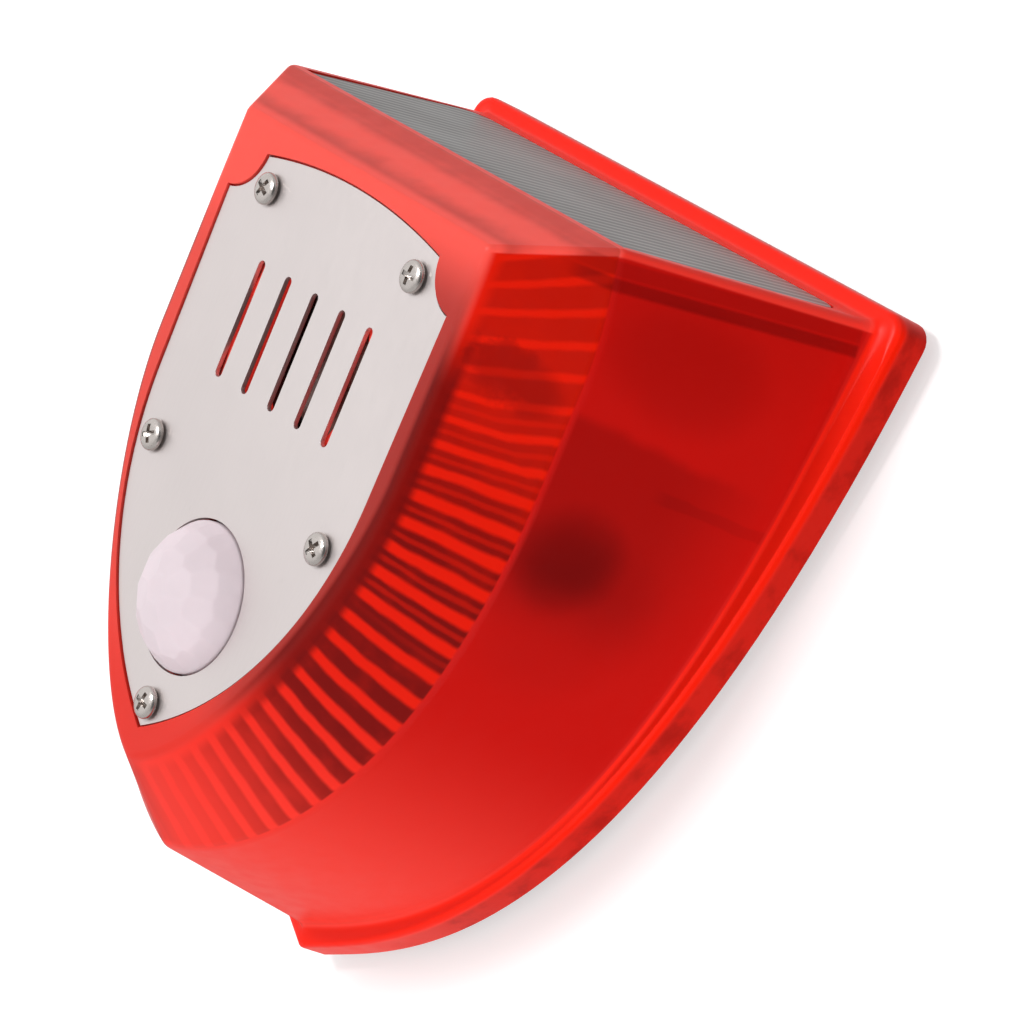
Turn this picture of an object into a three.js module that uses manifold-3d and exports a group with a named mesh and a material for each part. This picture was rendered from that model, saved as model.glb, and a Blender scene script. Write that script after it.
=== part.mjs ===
// Solar alarm siren: a wedge-shaped translucent cover with a steel face plate, a motion sensor and a
// siren behind it, a solar panel in its top, and a flat rear cover that goes against a wall.
// Millimetres, +Z up. X is the width, +Y points into the wall, and the origin is on the back face.
import * as THREE from "three";
import { mergeVertices } from "three/addons/utils/BufferGeometryUtils.js";
import { ConvexGeometry } from "three/addons/geometries/ConvexGeometry.js";
import Module from "manifold-3d";

const wasm = await Module();
wasm.setup();

// ---- Driving dimensions ----------------------------------------------------------------------
const GAP = 0.3; // clearance between pieces that touch
const WALL = 2.0; // cover wall
const FACE_TILT = THREE.MathUtils.degToRad(6); // the face leans out at the top
const FACE_AT = [0, -56.9, 26.9]; // top end of the middle sound slot, on the face
const TOP_TILT = THREE.MathUtils.degToRad(8.4); // the top rises towards the wall

// An outline of the body: half width and height at its top corners, its widest half width and the
// stretch of height that holds it, and the curve down to the pointed bottom.
const FACE_EDGE = {
  topHalf: 29.5, top: 17.4, half: 29.5, wideFrom: 5, wideTo: -15.2, tip: -68.5,
  sideHandle: 19.1, tipHandle: 14.8, tipAngle: 70, corner: 0.8,
};
const BEVEL_EDGE = {
  topHalf: 40.4, top: 23.7, half: 43.9, wideFrom: 5, wideTo: -9, tip: -80.2,
  sideHandle: 49, tipHandle: 13.7, tipAngle: 76, corner: 0.8,
};
const ROOT_EDGE = {
  topHalf: 46, top: 57.2, half: 46.6, wideFrom: 40, wideTo: 36, tip: -56.2,
  sideHandle: 72, tipHandle: 18, tipAngle: 64, corner: 1.2,
};
const FLANGE_EDGE = {
  topHalf: 50.4, top: 60, half: 50.4, wideFrom: 54, wideTo: 53, tip: -59.7,
  sideHandle: 90, tipHandle: 18, tipAngle: 63, corner: 3,
};
const BEVEL_DEPTH = 12.1; // the bevel runs this far behind the face
const FACE_WALL = 2.9; // cover thickness round the face plate
const FACE_TRIM = 0.4; // the inner skin's front edge, inwards from the face's edge
const FLANGE_THICK = 6; // flange, front to back
const COVE = 4.6; // fillet where the body meets the flange
const COVE_SHARE = 0.72; // part of the flange's reach that the fillet takes
const FLANGE_ROUND = 1.4; // rounded front edge of the flange
const RIBS_A_SIDE = 26; // light-spreading prisms inside the bevel
const RIB = { height: 1.3, lean: 0.012, half: 0.009 }; // lean and half width as shares of the edge

const PLATE_FRONT = GAP; // steel face plate, sunk just below the cover's face
const PLATE_THICK = 0.7;
const PLATE = {
  crownRadius: 96, crown: 15.1, notchAt: [28, 13.4], notchRadius: 7,
  sideTop: [26.9, 6.3], side: [26.4, -19], keelRadius: 51.5,
};
const SLOT = { count: 5, pitch: 6.72, length: 17.2, radius: 0.78 };
const FACE_SCREWS = [[-18.1, 9.2], [18.1, 9.2], [-21.2, -28.7], [21.2, -28.7], [0, -60.3]];
const SCREW = { head: 2.3, rise: 1.1, shank: 1.2, hole: 1.5, pilot: 1.4, boss: 3 };
const SCREW_LENGTH = { face: 7, board: 6, rear: 11 };
const REAR_POST = { radius: 3.5, front: -52, hole: -16 };

const SIREN = { at: -8, opening: 14.4, collar: 16.4, collarEnd: 13, radius: 14.1 };
const PIR = { at: -45.1, hole: 10.9, dome: 10.6, rise: 6.5, flange: 12.2, collar: 14 };
const BOARD = { front: 15.2, back: 16.8, half: 31, top: 15, low: -30, tipHalf: 9, tip: -60 };
const STANDOFFS = [[-26, 4], [26, 4], [-17.5, -43], [17.5, -43]];
const LEDS = [[-27, -6], [27, -6], [-26, -21.5], [26, -21.5], [-22, -36], [22, -36]];

const RIM = 1.7; // wall left round the solar panel
const POCKET = { front: 1.6, back: 38.2, frontHalf: 38.4, backHalf: 43.6, corner: 4, depth: 3.5 };
const POCKET_FLOOR = 1.6;
const PANEL_SINK = 0.25; // panel face below the rim
const PANEL_THICK = 2.1;
const PANEL_EDGE = 0.35; // gap round the solar panel
const TAPE = { outer: 1.2, inner: 5 }; // adhesive frame, inwards from the pocket's wall
const WIRE_SLOT = { x: 14, y: -34, half: 3, reach: 2, low: 38, high: 60 };

const REAR = { thick: 2.5, inset: 2, recessInset: 1.7, seat: 3.8 };
const REAR_SCREWS = [[-38, 47], [38, 47], [-17, -38], [17, -38]];
const KEYHOLE = { x: 22, z: 30, head: 4.3, slot: 2.2, run: 8, depth: 7, wall: 1.5 };
const BUTTON = { z: -22, radius: 4.2, guide: 4.6, guideWall: 1.4, stem: 1.8, sink: 0.6, travel: 1.5 };
const SWITCH = { width: 8.5, front: -19, back: -9.4 };
const CELL = { radius: 9.2, length: 65, y: -22.5, z: 10 };
const SHELF = { half: 60, back: -14, thick: 2 }; // wall the battery holder stands on
const HOLDER = { half: 38.5, high: 10.4, front: -33.5, back: -15, wall: 1.6, bed: 9.6 };
const LEAD = 0.6; // radius of an internal lead

// ---- Materials -------------------------------------------------------------------------------
const paint = (color, roughness, metalness = 0, extra = {}) =>
  new THREE.MeshStandardMaterial({ color, roughness, metalness, ...extra });
const redPlastic = () => paint(0xe8281c, 0.42, 0, { transparent: true, opacity: 0.9 });
const steel = () => paint(0xc9c4c0, 0.35, 0.9);
const screwSteel = () => paint(0xb9b6b0, 0.25, 1);
const blackPlastic = () => paint(0x17181a, 0.55);
const darkPlastic = () => paint(0x2b2c2f, 0.6);

// ---- Geometry helpers ------------------------------------------------------------------------
function solid(geometry) {
  const bare = geometry.clone();
  bare.deleteAttribute("normal");
  bare.deleteAttribute("uv");
  const merged = mergeVertices(bare, 1e-4);
  const vertProperties = new Float32Array(merged.attributes.position.array);
  const triVerts = new Uint32Array(merged.index.array);
  return new wasm.Manifold(new wasm.Mesh({ numProp: 3, vertProperties, triVerts }));
}

function geometryOf(manifold) {
  const mesh = manifold.getMesh();
  const geometry = new THREE.BufferGeometry();
  geometry.setAttribute("position", new THREE.BufferAttribute(mesh.vertProperties, 3));
  geometry.setIndex(new THREE.BufferAttribute(mesh.triVerts, 1));
  geometry.computeVertexNormals();
  return geometry;
}

function piece(name, shape, material) {
  const geometry = shape.isBufferGeometry ? shape : geometryOf(shape);
  const mesh = new THREE.Mesh(geometry, material);
  mesh.name = name;
  return mesh;
}

const union = (first, ...others) => others.reduce((whole, part) => whole.add(part), first);
const without = (first, ...others) => others.reduce((whole, part) => whole.subtract(part), first);

// A shape drawn in X and Z, filled from depth `from` to depth `to` along Y.
function slab(shape, from, to, curveSegments = 12) {
  const geometry = new THREE.ExtrudeGeometry(shape, { depth: to - from, bevelEnabled: false, curveSegments });
  return geometry.rotateX(Math.PI / 2).translate(0, to, 0);
}

function block(x0, x1, y0, y1, z0, z1) {
  const geometry = new THREE.BoxGeometry(x1 - x0, y1 - y0, z1 - z0);
  return geometry.translate((x0 + x1) / 2, (y0 + y1) / 2, (z0 + z1) / 2);
}

// A round bar along Y, and the same lying along X.
function bar(radius, from, to, x = 0, z = 0, sides = 14) {
  return new THREE.CylinderGeometry(radius, radius, to - from, sides).translate(x, (from + to) / 2, z);
}

function crossBar(radius, from, to, y, z, sides = 20) {
  const geometry = new THREE.CylinderGeometry(radius, radius, to - from, sides).rotateZ(Math.PI / 2);
  return geometry.translate((from + to) / 2, y, z);
}

// A ring along Y between two radii.
function tube(outer, inner, from, to, x = 0, z = 0, sides = 24) {
  return turned([[inner, from], [outer, from], [outer, to], [inner, to], [inner, from]], x, z, sides);
}

// A profile of [radius, y] points turned about a line along Y.
function turned(profile, x = 0, z = 0, sides = 24) {
  const points = profile.map(([radius, y]) => new THREE.Vector2(radius, y));
  return new THREE.LatheGeometry(points, sides).translate(x, 0, z);
}

// ---- Body outlines ---------------------------------------------------------------------------
const CORNER_STEPS = 3;
const SHOULDER_STEPS = 4;
const KEEL_STEPS = 14;

// The right half of an outline from its top corner to its tip, as [x, z] points.
function rightHalf(edge) {
  const { topHalf, top, half, wideFrom, wideTo, tip, sideHandle, tipHandle, corner } = edge;
  const angle = THREE.MathUtils.degToRad(edge.tipAngle);
  const points = [];
  for (let i = 0; i <= CORNER_STEPS; i++) {
    const turn = (Math.PI / 2) * (i / CORNER_STEPS);
    points.push([topHalf - corner * (1 - Math.sin(turn)), top - corner * (1 - Math.cos(turn))]);
  }
  const shoulderTop = top - corner;
  const fall = shoulderTop - wideFrom;
  const shoulder = new THREE.CubicBezierCurve(
    new THREE.Vector2(topHalf, shoulderTop),
    new THREE.Vector2(topHalf + (half - topHalf) * 0.55, shoulderTop - fall * 0.35),
    new THREE.Vector2(half, wideFrom + fall * 0.4),
    new THREE.Vector2(half, wideFrom),
  );
  const keel = new THREE.CubicBezierCurve(
    new THREE.Vector2(half, wideTo),
    new THREE.Vector2(half, wideTo - sideHandle),
    new THREE.Vector2(tipHandle * Math.sin(angle), tip + tipHandle * Math.cos(angle)),
    new THREE.Vector2(0, tip),
  );
  shoulder.getPoints(SHOULDER_STEPS).slice(1).forEach((p) => points.push([p.x, p.y]));
  keel.getPoints(KEEL_STEPS).forEach((p) => points.push([p.x, p.y]));
  return points;
}

// The whole outline, clockwise as seen from the front, starting at the top right corner.
function outline(edge) {
  const right = rightHalf(edge);
  const left = right.slice(0, -1).reverse().map(([x, z]) => [-x, z]);
  return [...right, ...left];
}

// The same edge moved inwards by a distance.
function shrunk(edge, by) {
  const tipShift = by / Math.sin(THREE.MathUtils.degToRad(edge.tipAngle));
  return {
    ...edge,
    topHalf: edge.topHalf - by,
    top: edge.top - by,
    half: edge.half - by,
    tip: edge.tip + tipShift,
    corner: Math.max(0.4, edge.corner - by),
  };
}

const inset = (edge, by) => outline(shrunk(edge, by));

const faceMatrix = new THREE.Matrix4().makeRotationX(FACE_TILT).setPosition(...FACE_AT);
const onFacePlane = (points, depth) =>
  points.map(([x, z]) => new THREE.Vector3(x, depth, z).applyMatrix4(faceMatrix));
const onBackPlane = (points, y) => points.map(([x, z]) => new THREE.Vector3(x, y, z));
const blendPoints = (from, to, share) =>
  from.map(([x, z], i) => [x + (to[i][0] - x) * share, z + (to[i][1] - z) * share]);

// A closed skin through a row of outlines that have the same number of points, front to back.
function loft(sections) {
  const count = sections[0].length;
  const positions = [];
  sections.forEach((section) => section.forEach((p) => positions.push(p.x, p.y, p.z)));
  const index = [];
  for (let s = 0; s + 1 < sections.length; s++) {
    for (let i = 0; i < count; i++) {
      const a = s * count + i;
      const b = s * count + ((i + 1) % count);
      index.push(a, b, a + count, b, b + count, a + count);
    }
  }
  [0, sections.length - 1].forEach((s) => {
    const middle = new THREE.Vector3();
    sections[s].forEach((p) => middle.addScaledVector(p, 1 / count));
    const hub = positions.length / 3;
    positions.push(middle.x, middle.y, middle.z);
    for (let i = 0; i < count; i++) {
      const a = s * count + i;
      const b = s * count + ((i + 1) % count);
      index.push(...(s === 0 ? [hub, b, a] : [hub, a, b]));
    }
  });
  const geometry = new THREE.BufferGeometry();
  geometry.setAttribute("position", new THREE.Float32BufferAttribute(positions, 3));
  geometry.setIndex(index);
  return geometry;
}

function shapeOf(points) {
  return new THREE.Shape(points.map(([x, z]) => new THREE.Vector2(x, z)));
}

// ---- Cover -----------------------------------------------------------------------------------
const faceOutline = outline(FACE_EDGE);
const bevelOutline = outline(BEVEL_EDGE);
const rootOutline = outline(ROOT_EDGE);
const flangeOutline = outline(FLANGE_EDGE);

function outerSkin() {
  const coveStart = -FLANGE_THICK - COVE + FLANGE_ROUND;
  const sections = [onFacePlane(faceOutline, 0), onFacePlane(bevelOutline, BEVEL_DEPTH)];
  const coveSteps = 4;
  for (let i = 0; i <= coveSteps; i++) {
    const turn = (Math.PI / 2) * (i / coveSteps);
    const share = COVE_SHARE * (1 - Math.cos(turn));
    const y = coveStart + (COVE - FLANGE_ROUND) * Math.sin(turn);
    sections.push(onBackPlane(blendPoints(rootOutline, flangeOutline, share), y));
  }
  const roundSteps = 3;
  for (let i = 1; i <= roundSteps; i++) {
    const turn = (Math.PI / 2) * (i / roundSteps);
    const share = COVE_SHARE + (1 - COVE_SHARE) * Math.sin(turn);
    const y = -FLANGE_THICK + FLANGE_ROUND * (1 - Math.cos(turn));
    sections.push(onBackPlane(blendPoints(rootOutline, flangeOutline, share), y));
  }
  sections.push(onBackPlane(flangeOutline, 0));
  return loft(sections);
}

function innerSkin() {
  const frontInner = inset(FACE_EDGE, FACE_TRIM);
  const bevelInner = inset(BEVEL_EDGE, WALL);
  const rootInner = inset(ROOT_EDGE, WALL);
  return loft([
    onFacePlane(frontInner, FACE_WALL),
    onFacePlane(bevelInner, BEVEL_DEPTH + 0.8),
    onBackPlane(rootInner, -REAR.seat),
    onBackPlane(rootInner, 1),
  ]);
}

function rearRecess() {
  return slab(shapeOf(inset(FLANGE_EDGE, REAR.recessInset)), -REAR.seat, 1);
}

// One prism inside the bevel, from the face's edge to the bevel's back edge.
function rib(side, share) {
  const { height, lean, half } = RIB;
  const inner = inset(FACE_EDGE, FACE_TRIM);
  const outer = inset(BEVEL_EDGE, WALL);
  const along = (points, at) => {
    const right = points.slice(CORNER_STEPS, CORNER_STEPS + SHOULDER_STEPS + KEEL_STEPS + 2);
    const path = new THREE.Path(right.map(([x, z]) => new THREE.Vector2(side * x, z)));
    return path.getPointAt(THREE.MathUtils.clamp(at, 0, 1));
  };
  const inFace = (p, depth) => new THREE.Vector3(p.x, depth, p.y).applyMatrix4(faceMatrix);
  const corners = [];
  [-half, half].forEach((offset) => {
    corners.push(inFace(along(inner, share + lean + offset), FACE_WALL - 0.6));
    corners.push(inFace(along(outer, share - lean + offset), BEVEL_DEPTH + 0.2));
  });
  const inward = new THREE.Vector2(0, -SIREN.collar);
  const crest = (p, depth) => {
    const toward = inward.clone().sub(p).normalize().multiplyScalar(height);
    return inFace(p.clone().add(toward), depth + height * 0.8);
  };
  corners.push(crest(along(inner, share + lean), FACE_WALL));
  corners.push(crest(along(outer, share - lean), BEVEL_DEPTH));
  return new ConvexGeometry(corners);
}

function coverRibs() {
  const made = [];
  for (let i = 1; i < RIBS_A_SIDE; i++) {
    [-1, 1].forEach((side) => made.push(solid(rib(side, i / RIBS_A_SIDE))));
  }
  return made;
}

const topMatrix = new THREE.Matrix4().makeRotationX(TOP_TILT).setPosition(
  onFacePlane([[0, BEVEL_EDGE.top]], BEVEL_DEPTH)[0],
);

// The solar pocket's outline on the sloping top, shrunk by a margin. Y runs towards the wall.
function pocketShape(margin) {
  const { front, back, frontHalf, backHalf, corner } = POCKET;
  const near = front + margin;
  const far = back - margin;
  const nearHalf = frontHalf - margin;
  const farHalf = backHalf - margin;
  const round = Math.max(0.5, corner - margin);
  const shape = new THREE.Shape();
  shape.moveTo(-nearHalf, near);
  shape.lineTo(nearHalf, near);
  shape.lineTo(farHalf, far - round);
  shape.quadraticCurveTo(farHalf, far, farHalf - round, far);
  shape.lineTo(-farHalf + round, far);
  shape.quadraticCurveTo(-farHalf, far, -farHalf, far - round);
  shape.closePath();
  return shape;
}

// The pocket's outline filled between two heights below the rim.
function pocketSlab(margin, low, high) {
  return new THREE.ExtrudeGeometry(pocketShape(margin), {
    depth: high - low, bevelEnabled: false, curveSegments: 5,
  }).translate(0, 0, low);
}

function plateShape(margin) {
  const { crownRadius, crown, notchAt, notchRadius, sideTop, side, keelRadius } = PLATE;
  const crownCentre = crown - crownRadius;
  const crownR = crownRadius + margin;
  const notchR = notchRadius - margin;
  const sideX = side[0] + margin;
  const keelR = keelRadius + margin;
  const keelX = side[0] - keelRadius;
  const notchTop = Math.asin((notchAt[0] - 21) / notchRadius);
  const crownTurn = Math.asin((notchAt[0] - notchR * Math.sin(notchTop)) / crownR);
  const keelTurn = Math.acos(-keelX / keelR);
  const notchLow = Math.acos((notchAt[0] - sideTop[0] - margin) / notchR);
  const shape = new THREE.Shape();
  shape.absarc(0, crownCentre, crownR, Math.PI / 2 + crownTurn, Math.PI / 2 - crownTurn, true);
  shape.absarc(notchAt[0], notchAt[1], notchR, Math.PI / 2 + notchTop, Math.PI + notchLow, false);
  shape.lineTo(sideX, side[1]);
  shape.absarc(keelX, side[1], keelR, 0, -keelTurn, true);
  shape.absarc(-keelX, side[1], keelR, Math.PI + keelTurn, Math.PI, true);
  shape.absarc(-notchAt[0], notchAt[1], notchR, -notchLow, Math.PI / 2 - notchTop, false);
  shape.closePath();
  return shape;
}

function bossHoles() {
  const face = FACE_SCREWS.map(([x, z]) => bar(SCREW.hole, 0, 8, x, z));
  const board = STANDOFFS.map(([x, z]) => bar(SCREW.pilot, 6, 16, x, z));
  return [...face, ...board].map((g) => solid(g.applyMatrix4(faceMatrix)));
}

function coverBosses() {
  const face = FACE_SCREWS.map(([x, z]) => bar(SCREW.boss, 1.6, 9, x, z));
  const board = STANDOFFS.map(([x, z]) => bar(SCREW.boss, 1.6, BOARD.front - GAP, x, z));
  const rings = [
    tube(SIREN.collar, SIREN.opening - 1, 1.6, SIREN.collarEnd, 0, SIREN.at, 32),
    tube(PIR.collar, PIR.flange - 1, 1.6, 7, 0, PIR.at, 28),
  ];
  return [...face, ...board, ...rings].map((g) => solid(g.applyMatrix4(faceMatrix)));
}

function frontCover() {
  const outer = solid(outerSkin());
  const pocketWall = solid(pocketSlab(-RIM - 6, -POCKET.depth - POCKET_FLOOR, 4).applyMatrix4(topMatrix));
  const rearPosts = REAR_SCREWS.map(([x, z]) => (
    solid(bar(REAR_POST.radius, REAR_POST.front, -REAR.seat, x, z))
  ));
  const shelfTop = CELL.z - HOLDER.high - GAP;
  const shelf = solid(block(
    -SHELF.half, SHELF.half, HOLDER.front, SHELF.back, shelfTop - SHELF.thick, shelfTop,
  ));
  const inside = union(pocketWall, shelf, ...rearPosts, ...coverBosses()).intersect(outer);
  const shell = outer.subtract(solid(innerSkin())).subtract(solid(rearRecess()));
  const trimmed = inside.subtract(solid(rearRecess()));
  const ribs = union(...coverRibs()).intersect(outer);
  const cuts = [
    solid(pocketSlab(0, -POCKET.depth, 12).applyMatrix4(topMatrix)),
    solid(slab(plateShape(GAP), -2, PLATE_FRONT + PLATE_THICK + GAP, 9).applyMatrix4(faceMatrix)),
    solid(bar(SIREN.opening, -1, SIREN.collarEnd + 2, 0, SIREN.at, 32).applyMatrix4(faceMatrix)),
    solid(bar(PIR.hole, -1, FACE_WALL + 1, 0, PIR.at, 28).applyMatrix4(faceMatrix)),
    solid(bar(PIR.flange + 0.5, FACE_WALL, 9, 0, PIR.at, 28).applyMatrix4(faceMatrix)),
    solid(block(
      WIRE_SLOT.x - WIRE_SLOT.half, WIRE_SLOT.x + WIRE_SLOT.half,
      WIRE_SLOT.y - WIRE_SLOT.reach, WIRE_SLOT.y + WIRE_SLOT.reach, WIRE_SLOT.low, WIRE_SLOT.high,
    )),
    ...REAR_SCREWS.map(([x, z]) => solid(bar(SCREW.hole, REAR_POST.hole, 1, x, z))),
    ...bossHoles(),
  ];
  return without(union(shell, trimmed, ribs), ...cuts);
}

// ---- Face plate and screws -------------------------------------------------------------------
function facePlate() {
  const shape = plateShape(0);
  for (let i = 0; i < SLOT.count; i++) {
    const x = (i - (SLOT.count - 1) / 2) * SLOT.pitch;
    const hole = new THREE.Path();
    hole.absarc(x, -SLOT.radius, SLOT.radius, 0, Math.PI);
    hole.absarc(x, -SLOT.length + SLOT.radius, SLOT.radius, Math.PI, 2 * Math.PI);
    hole.closePath();
    shape.holes.push(hole);
  }
  const rounds = [[0, PIR.at, PIR.hole], ...FACE_SCREWS.map(([x, z]) => [x, z, SCREW.hole])];
  rounds.forEach(([x, z, radius]) => {
    const hole = new THREE.Path();
    hole.absarc(x, z, radius, 0, 2 * Math.PI);
    shape.holes.push(hole);
  });
  return slab(shape, PLATE_FRONT, PLATE_FRONT + PLATE_THICK, 7);
}

// A cross-recessed pan head screw. Its head rises to -Y from y = 0 and its shank runs to +Y.
function panScrew(length) {
  const { head, rise, shank } = SCREW;
  const body = solid(turned([
    [0, -rise], [head * 0.5, -rise * 0.95], [head * 0.85, -rise * 0.7], [head, -rise * 0.2],
    [head, 0], [shank, 0], [shank, length - 1], [0, length],
  ], 0, 0, 14));
  const arm = (turn) => {
    const cut = new THREE.CylinderGeometry(0.36, 1.5, rise, 4, 1).rotateY(Math.PI / 4).scale(1, 1, 0.34);
    return solid(cut.rotateX(Math.PI).rotateY(turn).translate(0, -rise * 0.7, 0));
  };
  return without(body, arm(0), arm(Math.PI / 2));
}

function placedScrew(name, length, x, y, z, reversed = false) {
  const screw = piece(name, panScrew(length), screwSteel());
  screw.position.set(x, y, z);
  screw.rotation.z = reversed ? Math.PI : 0;
  return screw;
}

// ---- Motion sensor ---------------------------------------------------------------------------
function pirLens() {
  const skin = 0.8;
  const level = PLATE_FRONT;
  const sphere = (PIR.dome ** 2 + PIR.rise ** 2) / (2 * PIR.rise);
  const centre = level - PIR.rise + sphere;
  const reach = Math.asin(PIR.dome / sphere);
  const steps = 5;
  const arc = (radius, from, to) => {
    const points = [];
    for (let i = 0; i <= steps; i++) {
      const turn = from + (to - from) * (i / steps);
      points.push([radius * Math.sin(turn), centre - radius * Math.cos(turn)]);
    }
    return points;
  };
  const flangeFront = FACE_WALL + GAP;
  const flangeBack = flangeFront + 1;
  const wallInside = PIR.dome - skin;
  const innerReach = Math.asin(wallInside / (sphere - skin));
  const profile = [
    ...arc(sphere, 0, reach),
    [PIR.dome, flangeFront], [PIR.flange, flangeFront], [PIR.flange, flangeBack],
    [wallInside, flangeBack],
    ...arc(sphere - skin, innerReach, 0),
  ];
  profile[0][0] = 0;
  profile[profile.length - 1][0] = 0;
  return turned(profile, 0, PIR.at, 26);
}

function pirRing() {
  const front = FACE_WALL + 1 + 2 * GAP;
  return tube(PIR.flange, 9, front, front + 2, 0, PIR.at);
}

function pirSensor() {
  const seat = BOARD.front - GAP;
  return turned([
    [0, seat - 5.4], [4, seat - 5.4], [4.3, seat - 5.1], [4.3, seat - 0.9], [5, seat - 0.7],
    [5, seat], [0, seat],
  ], 0, PIR.at, 18);
}

// ---- Siren -----------------------------------------------------------------------------------
function sirenFrame() {
  const r = SIREN.radius;
  return turned([
    [r, 9.2], [r, 10.6], [12.4, 11], [8.2, 17.6], [0, 17.6], [0, 16.4], [7.2, 16.4], [11.3, 10],
    [11.3, 9.2], [r, 9.2],
  ], 0, SIREN.at, 28);
}

function sirenCone() {
  return turned([
    [0, 11.2], [3.2, 11.6], [4.2, 12.6], [10.2, 9.7], [10.9, 9.7], [10.9, 10.2], [4.4, 13.4],
    [3, 12.4], [0, 12],
  ], 0, SIREN.at);
}

function sirenGasket() {
  return tube(SIREN.radius, 11.3, 8.2, 9.2 - GAP, 0, SIREN.at);
}

function sirenMagnet() {
  return turned([[0, 17.9], [7.6, 17.9], [7.6, 20.6], [6.8, 21.3], [0, 21.3]], 0, SIREN.at, 20);
}

// ---- Board and what is on it -----------------------------------------------------------------
function mainBoard() {
  const { half, top, low, tipHalf, tip } = BOARD;
  const shape = new THREE.Shape();
  shape.moveTo(-half + 3, top);
  shape.lineTo(half - 3, top);
  shape.lineTo(half, top - 3);
  shape.lineTo(half, low);
  shape.lineTo(tipHalf, tip);
  shape.lineTo(-tipHalf, tip);
  shape.lineTo(-half, low);
  shape.lineTo(-half, top - 3);
  shape.closePath();
  const siren = new THREE.Path();
  siren.absarc(0, SIREN.at, SIREN.collar - 0.9, 0, 2 * Math.PI);
  shape.holes.push(siren);
  STANDOFFS.forEach(([x, z]) => {
    const hole = new THREE.Path();
    hole.absarc(x, z, SCREW.hole, 0, 2 * Math.PI);
    shape.holes.push(hole);
  });
  return slab(shape, BOARD.front, BOARD.back, 7);
}

function led() {
  const seat = BOARD.front - GAP;
  return turned([
    [0, seat - 8.6], [1.6, seat - 8], [2.5, seat - 6.1], [2.5, seat - 1], [2.9, seat - 1],
    [2.9, seat], [0, seat],
  ], 0, 0, 12);
}

const boardBack = BOARD.back + GAP;
const chip = () => block(-24.4, -15.6, boardBack, boardBack + 1.5, -37, -33);
const capacitor = () => turned([
  [0, boardBack], [4, boardBack], [4, boardBack + 8.6], [3.5, boardBack + 9], [0, boardBack + 9],
], 12, -48, 16);
const sirenCoil = () => union(
  solid(block(-12, -3, boardBack, boardBack + 2, -53, -43)),
  solid(bar(3.4, boardBack + 1, boardBack + 9, -7.5, -48)),
  solid(block(-12, -3, boardBack + 8, boardBack + 10, -53, -43)),
);
const socket = (x, z) => block(x - 3, x + 3, boardBack, boardBack + 5, z - 2.3, z + 2.3);
const SOCKETS = { battery: [-20, 11], solar: [16, 11], siren: [26, -3] };

// ---- Battery ---------------------------------------------------------------------------------
function batteryCell() {
  const { radius, length } = CELL;
  const end = length / 2;
  const profile = [
    [0, -end], [radius - 1, -end], [radius, -end + 1], [radius, end - 3], [radius - 0.5, end - 2.5],
    [radius, end - 2], [radius, end - 1.4], [3, end - 1.4], [3, end], [0, end],
  ];
  const points = profile.map(([r, y]) => new THREE.Vector2(r, y));
  const geometry = new THREE.LatheGeometry(points, 20).rotateZ(-Math.PI / 2);
  return geometry.translate(0, CELL.y, CELL.z);
}

function batteryHolder() {
  const { half, high, front, back, wall, bed } = HOLDER;
  const body = solid(block(-half, half, front, back, CELL.z - high, CELL.z + high));
  const bay = solid(crossBar(bed, -half + wall, half - wall, CELL.y, CELL.z));
  const mouth = solid(block(-half + wall, half - wall, CELL.y, 0, CELL.z - bed, CELL.z + bed));
  const thumb = solid(bar(9, -26, 0, 0, CELL.z + high + 1));
  return without(body, bay, mouth, thumb);
}

// A spring-steel contact blade between the cell's end and the holder's end wall.
function batteryClip(side) {
  const wallFace = HOLDER.half - HOLDER.wall - GAP;
  const cellEnd = CELL.length / 2 + GAP;
  const blade = new THREE.Shape();
  const back = CELL.y + 6;
  const front = CELL.y - 6;
  const t = 0.5;
  blade.moveTo(wallFace, back);
  blade.lineTo(wallFace, front);
  blade.lineTo(wallFace - 1, front);
  blade.lineTo(cellEnd + 0.1, CELL.y - 0.8);
  blade.lineTo(cellEnd + 0.1, CELL.y + 0.8);
  blade.lineTo(wallFace - 1.6, back - 2);
  blade.lineTo(wallFace - 1.6 + t, back - 2);
  blade.lineTo(cellEnd + 0.1 + t, CELL.y + 0.8);
  blade.lineTo(cellEnd + 0.1 + t, CELL.y - 0.8);
  blade.lineTo(wallFace - t, front + t);
  blade.lineTo(wallFace - t, back);
  blade.closePath();
  const geometry = new THREE.ExtrudeGeometry(blade, { depth: 8, bevelEnabled: false });
  geometry.translate(0, 0, CELL.z - 4);
  return side > 0 ? geometry : geometry.rotateY(Math.PI).translate(0, 0, 2 * CELL.z);
}

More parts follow.
